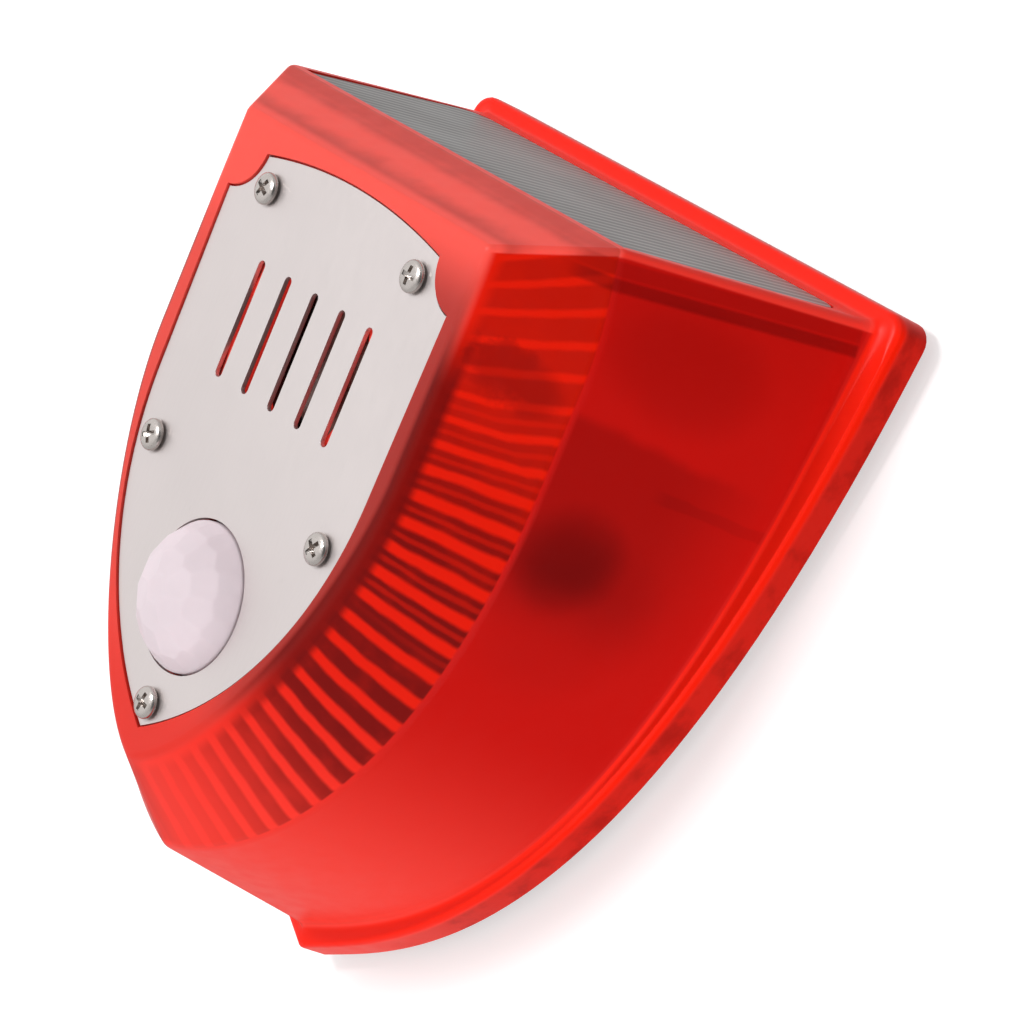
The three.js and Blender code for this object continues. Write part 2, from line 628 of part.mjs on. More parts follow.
// ---- Rear cover, its seal and screws ---------------------------------------------------------
function rearCover() {
  const { thick, inset: margin } = REAR;
  const plate = solid(slab(shapeOf(inset(FLANGE_EDGE, margin)), -thick, 0));
  const { x: hx, z: hz, head, slot, run, depth, wall } = KEYHOLE;
  const sides = [-1, 1];
  const cups = sides.map((s) => solid(block(
    s * hx - head - wall, s * hx + head + wall, -depth - wall, -thick + 0.5,
    hz - head - wall, hz + run + slot + wall,
  )));
  const keyholes = sides.flatMap((s) => [
    solid(bar(head, -depth, 1, s * hx, hz, 20)),
    solid(bar(slot, -depth, 1, s * hx, hz + run)),
    solid(block(s * hx - slot, s * hx + slot, -depth, 1, hz, hz + run)),
    solid(block(s * hx - head, s * hx + head, -depth, -thick, hz, hz + run + slot)),
  ]);
  const guide = solid(bar(BUTTON.guide + BUTTON.guideWall, -8, -thick + 0.5, 0, BUTTON.z, 20));
  const guideHole = solid(bar(BUTTON.guide, -9, 1, 0, BUTTON.z, 20));
  const screwHoles = REAR_SCREWS.flatMap(([x, z]) => [
    solid(bar(SCREW.hole, -4, 1, x, z)),
    solid(bar(SCREW.head + GAP, -SCREW.rise - 2 * GAP, 1, x, z)),
  ]);
  return without(union(plate, guide, ...cups), guideHole, ...keyholes, ...screwHoles);
}

function rearSeal() {
  const shape = shapeOf(inset(FLANGE_EDGE, REAR.inset + 0.3));
  shape.holes.push(shapeOf(inset(FLANGE_EDGE, REAR.inset + 1.5).reverse()));
  return slab(shape, -REAR.seat + GAP, -REAR.thick - GAP);
}

// ---- Power button and switch -----------------------------------------------------------------
function powerButton() {
  const face = -BUTTON.sink;
  const back = -5.6;
  const stemEnd = SWITCH.back - 0.6;
  return turned([
    [0, stemEnd], [BUTTON.stem, stemEnd], [BUTTON.stem, back], [BUTTON.radius, back],
    [BUTTON.radius, face - 0.6], [BUTTON.radius - 0.6, face], [0, face],
  ], 0, BUTTON.z, 20);
}

function switchBody() {
  const half = SWITCH.width / 2;
  const body = solid(block(-half, half, SWITCH.front, SWITCH.back, BUTTON.z - half, BUTTON.z + half));
  return body.subtract(solid(bar(BUTTON.stem + GAP, SWITCH.back - 5, 0, 0, BUTTON.z)));
}

function switchBracket() {
  const plate = solid(block(-11, 11, SWITCH.front - 2, SWITCH.front - GAP, BUTTON.z - 4, BUTTON.z + 4));
  const legs = [-1, 1].map((s) => solid(block(
    s * 10 - 1, s * 10 + 1, SWITCH.front - 1, -REAR.thick - GAP, BUTTON.z - 4, BUTTON.z + 4,
  )));
  return union(plate, ...legs);
}

// ---- Internal leads --------------------------------------------------------------------------
// A lead through the given points.
function lead(points) {
  const path = new THREE.CatmullRomCurve3(points, false, "centripetal");
  const ring = new THREE.Shape();
  ring.absarc(0, 0, LEAD, 0, 2 * Math.PI);
  const steps = Math.ceil(path.getLength() / 4);
  return new THREE.ExtrudeGeometry(ring, { steps, extrudePath: path, curveSegments: 3 });
}

const inRow = (x, depth, z) => new THREE.Vector3(x, depth, z).applyMatrix4(faceMatrix);
const at = (x, y, z) => new THREE.Vector3(x, y, z);
const leadEnd = BOARD.back + 5 + 3 * GAP;

function leadRoutes() {
  const [bx, bz] = SOCKETS.battery;
  const [sx, sz] = SOCKETS.solar;
  const [nx, nz] = SOCKETS.siren;
  const aboveHolder = CELL.z + HOLDER.high + 3;
  const routes = {};
  [-1, 1].forEach((side) => {
    const tone = side < 0 ? "black" : "red";
    routes[`battery_lead_${tone}`] = [
      at(side * 36.2, HOLDER.back + 1, CELL.z + 5),
      at(side * 36.2, HOLDER.back + 4, CELL.z + 8),
      at(side * 30, HOLDER.back + 2, aboveHolder + 2 + side),
      at(side * 3 - 14, -25, aboveHolder + 6 + side),
      inRow(bx + side * 1.2, leadEnd + 4, bz),
      inRow(bx + side * 1.2, leadEnd, bz),
    ];
    routes[`solar_lead_${tone}`] = [
      at(WIRE_SLOT.x + side * 1.2, WIRE_SLOT.y, 49),
      at(WIRE_SLOT.x + side * 1.2, WIRE_SLOT.y, 46),
      inRow(sx + side * 1.2, leadEnd + 3, sz + 1.5),
      inRow(sx + side * 1.2, leadEnd, sz),
    ];
    routes[`siren_lead_${tone}`] = [
      inRow(13.4, 18.4, SIREN.at + 6 + side * 1.4),
      inRow(18, 21, SIREN.at + 5 + side * 1.2),
      inRow(nx - 1, leadEnd + 1.6, nz + 1.6 + side * 1.1),
      inRow(nx, leadEnd, nz + side * 1.1),
    ];
  });
  return routes;
}

// ---- Assembly --------------------------------------------------------------------------------
const siren = new THREE.Group();

// Everything square to the face: x across, y into the body, z up the face.
const face = new THREE.Group();
face.applyMatrix4(faceMatrix);
siren.add(face);
face.add(piece("face_plate", facePlate(), steel()));
FACE_SCREWS.forEach(([x, z], i) => face.add(placedScrew(`face_screw_${i + 1}`, SCREW_LENGTH.face, x, 0, z)));
face.add(piece("pir_lens", pirLens(), paint(0xe9e2e4, 0.4)));
face.add(piece("pir_ring", pirRing(), darkPlastic()));
face.add(piece("pir_sensor", pirSensor(), screwSteel()));
face.add(piece("siren_frame", sirenFrame(), blackPlastic()));
face.add(piece("siren_cone", sirenCone(), paint(0x1c1512, 0.5)));
face.add(piece("siren_gasket", sirenGasket(), blackPlastic()));
face.add(piece("siren_magnet", sirenMagnet(), steel()));
face.add(piece("main_board", mainBoard(), paint(0x1d5a33, 0.5)));
LEDS.forEach(([x, z], i) => {
  const lamp = piece(`led_${i + 1}`, led(), paint(0xff3a2a, 0.2));
  lamp.position.set(x, 0, z);
  face.add(lamp);
});
STANDOFFS.forEach(([x, z], i) => {
  face.add(placedScrew(`board_screw_${i + 1}`, SCREW_LENGTH.board, x, boardBack, z, true));
});
face.add(piece("control_chip", chip(), blackPlastic()));
face.add(piece("capacitor", capacitor(), paint(0x2a3350, 0.4)));
face.add(piece("siren_coil", sirenCoil(), paint(0x8a5a2b, 0.5)));
Object.entries(SOCKETS).forEach(([name, [x, z]]) => {
  face.add(piece(`${name}_socket`, socket(x, z), paint(0xe8e4d8, 0.5)));
});

// Everything square to the sloping top.
const top = new THREE.Group();
top.applyMatrix4(topMatrix);
siren.add(top);
const panelBack = -PANEL_SINK - PANEL_THICK;
const panelTape = solid(pocketSlab(TAPE.outer, -POCKET.depth + GAP, panelBack - GAP));
const tapeWindow = solid(pocketSlab(TAPE.inner, -2 * POCKET.depth, 0));
top.add(piece("solar_panel", pocketSlab(PANEL_EDGE, panelBack, -PANEL_SINK), paint(0x8d898a, 0.35)));
top.add(piece("panel_tape", panelTape.subtract(tapeWindow), blackPlastic()));

// Everything square to the wall.
siren.add(piece("front_cover", frontCover(), redPlastic()));
siren.add(piece("rear_cover", rearCover(), darkPlastic()));
siren.add(piece("rear_seal", rearSeal(), blackPlastic()));
REAR_SCREWS.forEach(([x, z], i) => {
  siren.add(placedScrew(`rear_screw_${i + 1}`, SCREW_LENGTH.rear, x, -SCREW.rise - GAP, z, true));
});
siren.add(piece("battery_cell", batteryCell(), paint(0x3d6fb4, 0.4)));
siren.add(piece("battery_holder", batteryHolder(), blackPlastic()));
siren.add(piece("battery_clip_plus", batteryClip(1), steel()));
siren.add(piece("battery_clip_minus", batteryClip(-1), steel()));
siren.add(piece("power_button", powerButton(), paint(0x3a3b3d, 0.7)));
siren.add(piece("power_switch", switchBody(), blackPlastic()));
siren.add(piece("switch_bracket", switchBracket(), steel()));
Object.entries(leadRoutes()).forEach(([name, points]) => {
  siren.add(piece(name, lead(points), paint(name.endsWith("red") ? 0xb01515 : 0x141414, 0.5)));
});

export default siren;
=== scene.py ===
"""Looks for a solar alarm siren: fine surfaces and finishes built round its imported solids."""

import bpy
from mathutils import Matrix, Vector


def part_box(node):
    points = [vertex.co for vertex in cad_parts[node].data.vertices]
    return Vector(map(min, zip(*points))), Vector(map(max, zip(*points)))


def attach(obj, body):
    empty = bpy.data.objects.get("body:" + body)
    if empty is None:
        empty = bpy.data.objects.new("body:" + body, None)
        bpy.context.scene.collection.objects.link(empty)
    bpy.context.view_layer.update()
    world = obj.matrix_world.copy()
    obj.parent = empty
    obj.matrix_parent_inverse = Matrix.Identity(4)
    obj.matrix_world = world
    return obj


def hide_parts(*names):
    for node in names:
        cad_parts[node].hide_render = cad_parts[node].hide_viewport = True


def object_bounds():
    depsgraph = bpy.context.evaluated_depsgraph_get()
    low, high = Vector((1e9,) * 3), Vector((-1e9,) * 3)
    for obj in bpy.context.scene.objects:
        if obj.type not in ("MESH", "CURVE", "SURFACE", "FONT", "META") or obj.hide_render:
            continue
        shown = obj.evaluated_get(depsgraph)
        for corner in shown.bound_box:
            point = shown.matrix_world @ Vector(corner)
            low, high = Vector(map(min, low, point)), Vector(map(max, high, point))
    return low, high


bl_info = {
    "name": "Solar Alarm Siren",
    "version": (1, 0, 0),
    "blender": (4, 5, 0),
    "location": "View3D > Sidebar > Siren",
    "description": "Builds the visible pieces, finishes and studio of a solar alarm siren",
    "category": "Object",
}

import math
from typing import NamedTuple

import bmesh
import bpy
from mathutils import Matrix, Vector
from mathutils.kdtree import KDTree

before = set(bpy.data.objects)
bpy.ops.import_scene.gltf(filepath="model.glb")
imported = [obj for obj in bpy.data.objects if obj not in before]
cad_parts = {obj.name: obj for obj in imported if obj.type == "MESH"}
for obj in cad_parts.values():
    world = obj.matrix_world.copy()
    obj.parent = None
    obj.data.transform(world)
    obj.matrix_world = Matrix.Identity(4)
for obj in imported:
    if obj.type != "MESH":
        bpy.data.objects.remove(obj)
CAD_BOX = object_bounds()

# Shapes are drawn in millimetres and turned into metres as each mesh is made.
MM = 0.001
SHELL_BODY = "siren_body"
BUTTON_BODY = "button"

# ---- The frame's own sizes, in millimetres ---------------------------------------------------


def node_box(node):
    """A node's lowest and highest corner, in millimetres."""
    low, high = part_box(node)
    return low / MM, high / MM


def node_middle(node):
    low, high = node_box(node)
    return (low + high) / 2


COVER_LOW, COVER_HIGH = node_box("front_cover")
PLATE_LOW, PLATE_HIGH = node_box("face_plate")
FACE_TILT = math.radians(6)
TOP_TILT = math.radians(8.4)
PLATE_SINK = 0.3
PLATE_THICK = 0.7
PLATE_CROWN = 15.1
POCKET_DEPTH = 3.5
PANEL_SINK = 0.25
PANEL_THICK = 2.1
PANEL_EDGE = 0.35
SCREW_HEAD = 2.3
SCREW_RISE = 1.1
SCREW_HOLE = 1.5
SPEAKER_HOLE = 14.4
SENSOR_HOLE = 10.9
LENS_RADIUS = 10.6
BEVEL_DEPTH = 12.1
SHARP_EDGE = math.radians(50)
FACE_DEPTH = PLATE_LOW.y - PLATE_SINK * math.cos(FACE_TILT) + PLATE_CROWN * math.sin(FACE_TILT)
FACE_HEIGHT = (
    PLATE_HIGH.z - PLATE_CROWN * math.cos(FACE_TILT) - (PLATE_SINK + PLATE_THICK) * math.sin(FACE_TILT)
)
# Square to the tilted face: x across, y into the body, z up the face from the middle slot's top.
FACE = Matrix.Translation((0, FACE_DEPTH, FACE_HEIGHT)) @ Matrix.Rotation(FACE_TILT, 4, "X")
FACE_BACK = FACE.inverted()


def on_face(node):
    """The middle of a node as x and z on the face."""
    middle = FACE_BACK @ node_middle(node)
    return middle.x, middle.z


FACE_SCREWS = [f"face_screw_{i}" for i in range(1, 6)]
BOARD_SCREWS = [f"board_screw_{i}" for i in range(1, 5)]
REAR_SCREWS = [f"rear_screw_{i}" for i in range(1, 5)]
LAMPS = [f"led_{i}" for i in range(1, 7)]
SENSOR = on_face("pir_lens")
SPEAKER = on_face("siren_frame")

# ---- Sizes and colours a user can change -----------------------------------------------------


def length(name, description, millimetres):
    return bpy.props.FloatProperty(
        name=name, description=description, default=millimetres * MM, unit="LENGTH", precision=5
    )


def colour(name, description, value):
    return bpy.props.FloatVectorProperty(
        name=name, description=description, default=value, subtype="COLOR", size=3, min=0, max=1
    )


class SirenSizes(bpy.types.PropertyGroup):
    """Sizes of the pieces that the frame doesn't settle."""

    flange_thick: length("Flange", "Thickness of the flange round the back", 6)
    cove: length("Cove", "Reach of the fillet where the body meets the flange", 2.6)
    flange_round: length("Flange edge", "Reach of the flange's rounded front edge", 1.5)
    face_round: length("Face edge", "Reach of the rounding between the face and the bevel", 0.9)
    bevel_round: length("Bevel edge", "Reach of the rounding between the bevel and the sides", 1.1)
    bevel_depth: length("Bevel depth", "How far the bevel runs behind the face", BEVEL_DEPTH)
    wall: length("Wall", "Thickness of the cover's wall", 2)
    rim_soft: length("Rim edge", "Softness of the edge round the solar panel", 0.3)
    slot_pitch: length("Slot pitch", "Distance from slot to slot", 6.72)
    slot_length: length("Slot length", "Length of a sound slot", 17.2)
    slot_width: length("Slot width", "Width of a sound slot", 1.56)
    slot_count: bpy.props.IntProperty(name="Slots", description="Number of sound slots", default=5)
    rib_count: bpy.props.IntProperty(name="Ribs", description="Prisms on each side", default=27)
    panel_pitch: length("Cell lines", "Distance between the solar panel's fine lines", 2.2)


class SirenColours(bpy.types.PropertyGroup):
    """Colours of the visible finishes."""

    red_lit: colour("Lit red", "Cover's face and top", (0.97, 0.095, 0.073))
    red_low: colour("Low red", "Cover's sides near the tip, and its flange", (0.92, 0.042, 0.028))
    red_bright: colour("Bright red", "Cover's flange", (0.90, 0.022, 0.012))
    # Painted shade: the darker red of the cover's upper sides, where the unlit inside shows through the wall.
    red_side_shade: colour("Deep red", "Cover over the dark inside", (0.56, 0.005, 0.003))
    red_shade: colour("Dark red", "Cover between its prisms", (0.12, 0.001, 0.001))
    red_glow: colour("Glow", "Light carried to the cover's edges", (0.95, 0.012, 0.001))
    steel: colour("Face plate", "Satin stainless steel", (0.69, 0.63, 0.62))
    screw: colour("Screws", "Bright nickel", (0.60, 0.55, 0.52))
    # The lens colour holds a painted faint pink cast of red light from the cover round it.
    lens: colour("Sensor lens", "Milky lens", (0.74, 0.63, 0.67))
    cell: colour("Solar cell", "Ground of the solar panel", (0.10, 0.09, 0.085))
    cell_line: colour("Cell lines", "Fine lines on the solar panel", (0.34, 0.315, 0.305))
    rear: colour("Rear cover", "Charcoal plastic", (0.045, 0.045, 0.05))
    floor: colour("Floor", "Pale floor and wall", (0.62, 0.62, 0.62))


# ---- Outlines --------------------------------------------------------------------------------


def bezier(p0, p1, p2, p3, steps):
    """Points on a cubic curve, its first one left out."""
    points = []
    for i in range(1, steps + 1):
        t = i / steps
        weights = ((1 - t) ** 3, 3 * (1 - t) ** 2 * t, 3 * (1 - t) * t**2, t**3)
        handles = (p0, p1, p2, p3)
        points.append(Vector(sum(w * p[axis] for w, p in zip(weights, handles)) for axis in (0, 1)))
    return points


def arc(centre, radius, start, end, steps):
    """Points on a circle's arc between two angles in radians, both ends included."""
    points = []
    for i in range(steps + 1):
        turn = start + (end - start) * i / steps
        points.append(Vector((centre[0] + radius * math.cos(turn), centre[1] + radius * math.sin(turn))))
    return points


class Edge(NamedTuple):
    """One outline of the body, in millimetres: its top corners, its widest stretch and its pointed tip."""

    top_half: float
    top: float
    half: float
    wide_from: float
    wide_to: float
    tip: float
    side_handle: float
    tip_handle: float
    tip_angle: float
    corner: float

    CORNER_STEPS = 6
    SHOULDER_STEPS = 10
    KEEL_STEPS = 46
    LEAST_CORNER = 0.4

    def shrunk(self, by):
        """The same outline moved inwards."""
        return self._replace(
            top_half=self.top_half - by,
            top=self.top - by,
            half=self.half - by,
            tip=self.tip + by / math.sin(math.radians(self.tip_angle)),
            corner=max(self.LEAST_CORNER, self.corner - by),
        )

    def right_half(self):
        """The points from the top right corner down to the tip."""
        centre = (self.top_half - self.corner, self.top - self.corner)
        points = arc(centre, self.corner, math.pi / 2, 0, self.CORNER_STEPS)
        start = self.top - self.corner
        fall = start - self.wide_from
        angle = math.radians(self.tip_angle)
        points += bezier(
            (self.top_half, start),
            (self.top_half + (self.half - self.top_half) * 0.55, start - fall * 0.35),
            (self.half, self.wide_from + fall * 0.4),
            (self.half, self.wide_from),
            self.SHOULDER_STEPS,
        )
        points.append(Vector((self.half, self.wide_to)))
        points += bezier(
            (self.half, self.wide_to),
            (self.half, self.wide_to - self.side_handle),
            (self.tip_handle * math.sin(angle), self.tip + self.tip_handle * math.cos(angle)),
            (0, self.tip),
            self.KEEL_STEPS,
        )
        return points

    def loop(self):
        """The whole outline, from the top right corner round by the tip to the top left corner."""
        right = self.right_half()
        return right + [Vector((-p.x, p.y)) for p in reversed(right[:-1])]


FACE_EDGE = Edge(29.5, 17.4, 29.5, 5, -15.2, -68.5, 19.1, 14.8, 70, 0.8)
BEVEL_EDGE = Edge(40.4, 23.7, 43.9, 5, -9, -80.2, 49, 13.7, 76, 0.8)
ROOT_EDGE = Edge(46.1, 57.6, 46.8, 40, 36, -56.4, 72, 18, 64, 1.2)
FLANGE_EDGE = Edge(
    COVER_HIGH.x, COVER_HIGH.z, COVER_HIGH.x, COVER_HIGH.z - 6, COVER_HIGH.z - 7, COVER_LOW.z, 90, 18, 63, 3
)


def mirrored(right):
    """A right half that doesn't meet the middle, closed with its mirror image."""
    return right + [Vector((-p.x, p.y)) for p in reversed(right)]


def plate_outline(margin=0.0):
    """The face plate's outline: a crowned top with a bite at each corner, and two arcs down to the tip."""
    crown, bite, keel = 96, 7, 51.5
    bite_centre = (28, 13.4)
    bite_in = 21
    side, side_bitten, side_low = 26.4, 26.9, -19
    crown_radius, bite_radius, keel_radius = crown + margin, bite - margin, keel + margin
    bite_top = math.asin((bite_centre[0] - bite_in) / bite)
    crown_turn = math.asin((bite_centre[0] - bite_radius * math.sin(bite_top)) / crown_radius)
    bite_low = math.acos((bite_centre[0] - side_bitten - margin) / bite_radius)
    keel_turn = math.acos((keel - side) / keel_radius)
    right = arc((0, PLATE_CROWN - crown), crown_radius, math.pi / 2, math.pi / 2 - crown_turn, 12)
    right += arc(bite_centre, bite_radius, math.pi / 2 + bite_top, math.pi + bite_low, 14)
    right += arc((side - keel, side_low), keel_radius, 0, -keel_turn, 36)
    return right + [Vector((-p.x, p.y)) for p in reversed(right[1:-1])]


def slot_outline(x, top, bottom, radius):
    return arc((x, top - radius), radius, 0, math.pi, 12) + arc(
        (x, bottom + radius), radius, math.pi, 2 * math.pi, 12
    )


def circle(x, z, radius, sides=64):
    return arc((x, z), radius, 0, 2 * math.pi * (1 - 1 / sides), sides - 1)


# ---- Meshes ----------------------------------------------------------------------------------


def new_piece(name, mesh):
    piece = bpy.data.objects.new(name, mesh)
    bpy.context.scene.collection.objects.link(piece)
    return piece


def mesh_from(name, points, faces, matrix=None):
    """A mesh from points in millimetres, its faces turned outwards."""
    mesh = bpy.data.meshes.new(name)
    place = matrix or Matrix.Identity(4)
    mesh.from_pydata([(place @ Vector(p)) * MM for p in points], [], faces)
    shape = bmesh.new()
    shape.from_mesh(mesh)
    bmesh.ops.remove_doubles(shape, verts=shape.verts, dist=1e-7)
    bmesh.ops.recalc_face_normals(shape, faces=shape.faces)
    shape.to_mesh(mesh)
    shape.free()
    return mesh


def skin(name, rings, matrix=None):
    """A closed skin through rings of points that have the same number of points."""
    count = len(rings[0])
    points = [p for ring in rings for p in ring]
    faces = [list(range(count)), list(range(len(points) - count, len(points)))]
    for r in range(len(rings) - 1):
        for i in range(count):
            a, b = r * count + i, r * count + (i + 1) % count
            faces.append((a, b, b + count, a + count))
    return mesh_from(name, points, faces, matrix)


def prism(name, outline, start, end, matrix=None):
    """An outline in x and z, filled between two depths."""
    return skin(name, [[(p.x, y, p.y) for p in outline] for y in (start, end)], matrix)


def turned(name, profile, sides=48, matrix=None):
    """A profile of (radius, y) points turned about the Y axis, with a small flat cap at each end."""
    rings = [[(p.x, y, p.y) for p in circle(0, 0, radius, sides)] for radius, y in profile]
    return skin(name, rings, matrix)


def ring_mesh(name, outer, inner, start, end, matrix=None, sides=64):
    """A tube along Y with square ends."""
    corners = [(inner, start), (outer, start), (outer, end), (inner, end)]
    points = []
    for radius, y in corners:
        points += [(p.x, y, p.y) for p in circle(0, 0, radius, sides)]
    faces = []
    for r in range(len(corners)):
        for i in range(sides):
            a, b = r * sides + i, r * sides + (i + 1) % sides
            c, d = ((r + 1) % 4) * sides + (i + 1) % sides, ((r + 1) % 4) * sides + i
            faces.append((a, b, c, d))
    return mesh_from(name, points, faces, matrix)


def box_mesh(name, low, high):
    places = ((low[0], low[2]), (high[0], low[2]), (high[0], high[2]), (low[0], high[2]))
    return prism(name, [Vector(place) for place in places], low[1], high[1])


def joined(name, meshes):
    """Several meshes as one."""
    shape = bmesh.new()
    for mesh in meshes:
        shape.from_mesh(mesh)
        bpy.data.meshes.remove(mesh)
    whole = bpy.data.meshes.new(name)
    shape.to_mesh(whole)
    shape.free()
    return whole


def combined(mesh, steps):
    """The mesh after each (operation, other mesh) step of joining or cutting, with exact booleans."""
    piece = new_piece("combining", mesh)
    others = []
    for operation, other in steps:
        tool = new_piece("tool", other)
        others.append(tool)
        boolean = piece.modifiers.new("step", "BOOLEAN")
        boolean.operation = operation
        boolean.solver = "EXACT"
        boolean.object = tool
    bpy.context.view_layer.update()
    graph = bpy.context.evaluated_depsgraph_get()
    result = bpy.data.meshes.new_from_object(piece.evaluated_get(graph))
    for used in [piece, *others]:
        data = used.data
        bpy.data.objects.remove(used)
        bpy.data.meshes.remove(data)
    return result


def softened(mesh, matrix, axis, level, width, segments=2):
    """Rounds the sharp edges in one plane: where the matrix's axis has that level, in millimetres."""
    shape = bmesh.new()
    shape.from_mesh(mesh)
    shape.normal_update()
    back = matrix.inverted()

    def lies_in_plane(vertex):
        return abs((back @ (vertex.co / MM))[axis] - level) < 0.01

    edges = [
        edge
        for edge in shape.edges
        if len(edge.link_faces) == 2
        and all(lies_in_plane(v) for v in edge.verts)
        and edge.calc_face_angle(0) > SHARP_EDGE
    ]
    bmesh.ops.bevel(
        shape,
        geom=edges,
        offset=width * MM,
        segments=segments,
        profile=0.5,
        affect="EDGES",
        clamp_overlap=True,
    )
    shape.to_mesh(mesh)
    shape.free()
    return mesh


def shaded(piece, angle=32):
    """Smooth shading that keeps edges sharper than the angle, with flat faces kept flat."""
    for face in piece.data.polygons:
        face.use_smooth = True
    piece.data.set_sharp_from_angle(angle=math.radians(angle))
    weighted = piece.modifiers.new("even shading", "WEIGHTED_NORMAL")
    weighted.keep_sharp = True
    weighted.weight = 80
    return piece


def finished(name, mesh, material, nodes=(), body=SHELL_BODY, angle=32):
    """A visible piece: its mesh, finish, body, material slot and the nodes it stands for."""
    piece = new_piece(name, mesh)
    piece.data.materials.clear()
    piece.data.materials.append(material)
    shaded(piece, angle)
    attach(piece, body)
    if nodes:
        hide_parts(*nodes)
    return piece


# ---- Shader maths ----------------------------------------------------------------------------


def maths_operator(operation, reflected=False):
    """A Python operator that adds a Math node."""

    def apply(self, other):
        values = (other, self) if reflected else (self, other)
        return self.maths(operation, *values)

    return apply


class Wire:
    """A node's output that Python's operators build Math nodes on."""

    def __init__(self, finish, socket):
        self.finish = finish
        self.socket = socket

    def maths(self, operation, *values):
        sockets = dict(enumerate(values))
        return self.finish.node("ShaderNodeMath", {"operation": operation}, sockets)

    __add__ = maths_operator("ADD")
    __radd__ = maths_operator("ADD", reflected=True)
    __sub__ = maths_operator("SUBTRACT")
    __rsub__ = maths_operator("SUBTRACT", reflected=True)
    __mul__ = maths_operator("MULTIPLY")
    __rmul__ = maths_operator("MULTIPLY", reflected=True)
    __truediv__ = maths_operator("DIVIDE")
    __pow__ = maths_operator("POWER")

    def __abs__(self):
        return self.maths("ABSOLUTE", self)

    def zigzag(self):
        """1 at every whole number, falling to 0 halfway between two."""
        return abs(self.maths("FRACT", self) - 0.5) * 2

    def step(self, low, high, from_value=0.0, to_value=1.0):
        """A smooth step between two values."""
        return self.finish.node(
            "ShaderNodeMapRange",
            {"interpolation_type": "SMOOTHSTEP"},
            {"Value": self, "From Min": low, "From Max": high, "To Min": from_value, "To Max": to_value},
        )


class NodeWork:
    """A node tree, with one way to add any node."""

    def __init__(self, tree):
        self.tree = tree

    def fill(self, node, sockets):
        for key, value in sockets.items():
            target = node.inputs[key]
            if isinstance(value, Wire):
                self.tree.links.new(value.socket, target)
            else:
                target.default_value = value

    def node(self, kind, settings=None, sockets=None, out=0):
        """Any node: its type, settings, socket values or links, and which output to take."""
        made = self.tree.nodes.new(kind)
        for key, value in (settings or {}).items():
            setattr(made, key, value)
        self.fill(made, sockets or {})
        return Wire(self, made.outputs[out])

    def split(self, vector):
        """The x, y and z of a vector."""
        parted = self.tree.nodes.new("ShaderNodeSeparateXYZ")
        self.tree.links.new(vector.socket, parted.inputs[0])
        return [Wire(self, parted.outputs[i]) for i in range(3)]


class Finish(NodeWork):
    """A material made of nodes, with one Principled surface."""

    def __init__(self, name):
        self.material = bpy.data.materials.new(name)
        self.material.use_nodes = True
        super().__init__(self.material.node_tree)
        self.tree.nodes.clear()
        self.output = self.tree.nodes.new("ShaderNodeOutputMaterial")
        self.surface_node = self.tree.nodes.new("ShaderNodeBsdfPrincipled")
        self.tree.links.new(self.surface_node.outputs[0], self.output.inputs["Surface"])

    def surface(self, **sockets):
        """Sets the Principled surface's sockets, named with underscores for spaces."""
        self.fill(self.surface_node, {key.replace("_", " "): value for key, value in sockets.items()})

    def place(self):
        """The point on the piece, in metres."""
        return self.node("ShaderNodeTexCoord", out="Object")

    def axes(self, matrix=None):
        """The point's x, y and z in millimetres, in a frame of its own if a matrix is given."""
        point = self.place()
        point = self.node(
            "ShaderNodeVectorMath", {"operation": "SCALE"}, {"Vector": point, "Scale": 1 / MM}
        )
        if matrix is not None:
            turn = matrix.inverted()
            point = self.node(
                "ShaderNodeMapping",
                {"vector_type": "POINT"},
                {"Vector": point, "Location": turn.translation, "Rotation": turn.to_euler()},
            )
        return self.split(point)

    def noise(self, size, detail=2.0, roughness=0.5, stretch=None):
        """Soft noise whose features are about `size` millimetres."""
        point = self.place()
        if stretch is not None:
            sockets = {"Vector": point, "Scale": stretch}
            point = self.node("ShaderNodeMapping", {"vector_type": "POINT"}, sockets)
        sockets = {"Vector": point, "Scale": 1 / (size * MM), "Detail": detail, "Roughness": roughness}
        return self.node("ShaderNodeTexNoise", None, sockets)

    def attribute(self, name):
        return self.node("ShaderNodeAttribute", {"attribute_name": name}, out="Fac")

    def mix(self, share, first, second):
        """One colour turning into another."""
        sockets = {0: share, 6: self.as_colour(first), 7: self.as_colour(second)}
        return self.node("ShaderNodeMix", {"data_type": "RGBA", "clamp_factor": True}, sockets, out=2)

    @staticmethod
    def as_colour(value):
        return value if isinstance(value, Wire) else (*tuple(value)[:3], 1.0)

    def bump(self, height, strength, distance):
        sockets = {"Height": height, "Strength": strength, "Distance": distance * MM}
        self.surface(Normal=self.node("ShaderNodeBump", None, sockets))


def scaled(value, by):
    """A colour made lighter or darker."""
    return tuple(min(1.0, channel * by) for channel in value)


def grained(name, base, roughness, grain=0.25, grain_height=0.02, metallic=0.0):
    """A moulded or pressed finish: slight changes of tone and gloss over a fine grain."""
    finish = Finish(name)
    cloud = finish.noise(14, 3)
    fine = finish.noise(grain, 2)
    finish.surface(
        Base_Color=finish.mix(cloud, scaled(base, 0.88), scaled(base, 1.1)),
        Roughness=fine.step(0.2, 0.8, roughness * 0.88, min(1.0, roughness * 1.14)),
        Metallic=metallic,
    )
    finish.bump(fine, 0.25, grain_height)
    return finish.material


# ---- The finishes ----------------------------------------------------------------------------

TOP_EDGE_POINT = FACE @ Vector((0, BEVEL_DEPTH, BEVEL_EDGE.top))
# Square to the sloping top: x across, y towards the wall, z up out of the top.
TOP = Matrix.Translation(TOP_EDGE_POINT) @ Matrix.Rotation(TOP_TILT, 4, "X")


def blob(axes, centre, reach, core=0.12):
    """A soft ellipse: 1 inside its core and 0 past its reach."""
    total = 0.0
    for axis, middle, size in zip(axes, centre, reach):
        total = ((axis - middle) / size) ** 2 + total
    return total.step(1.0, core)


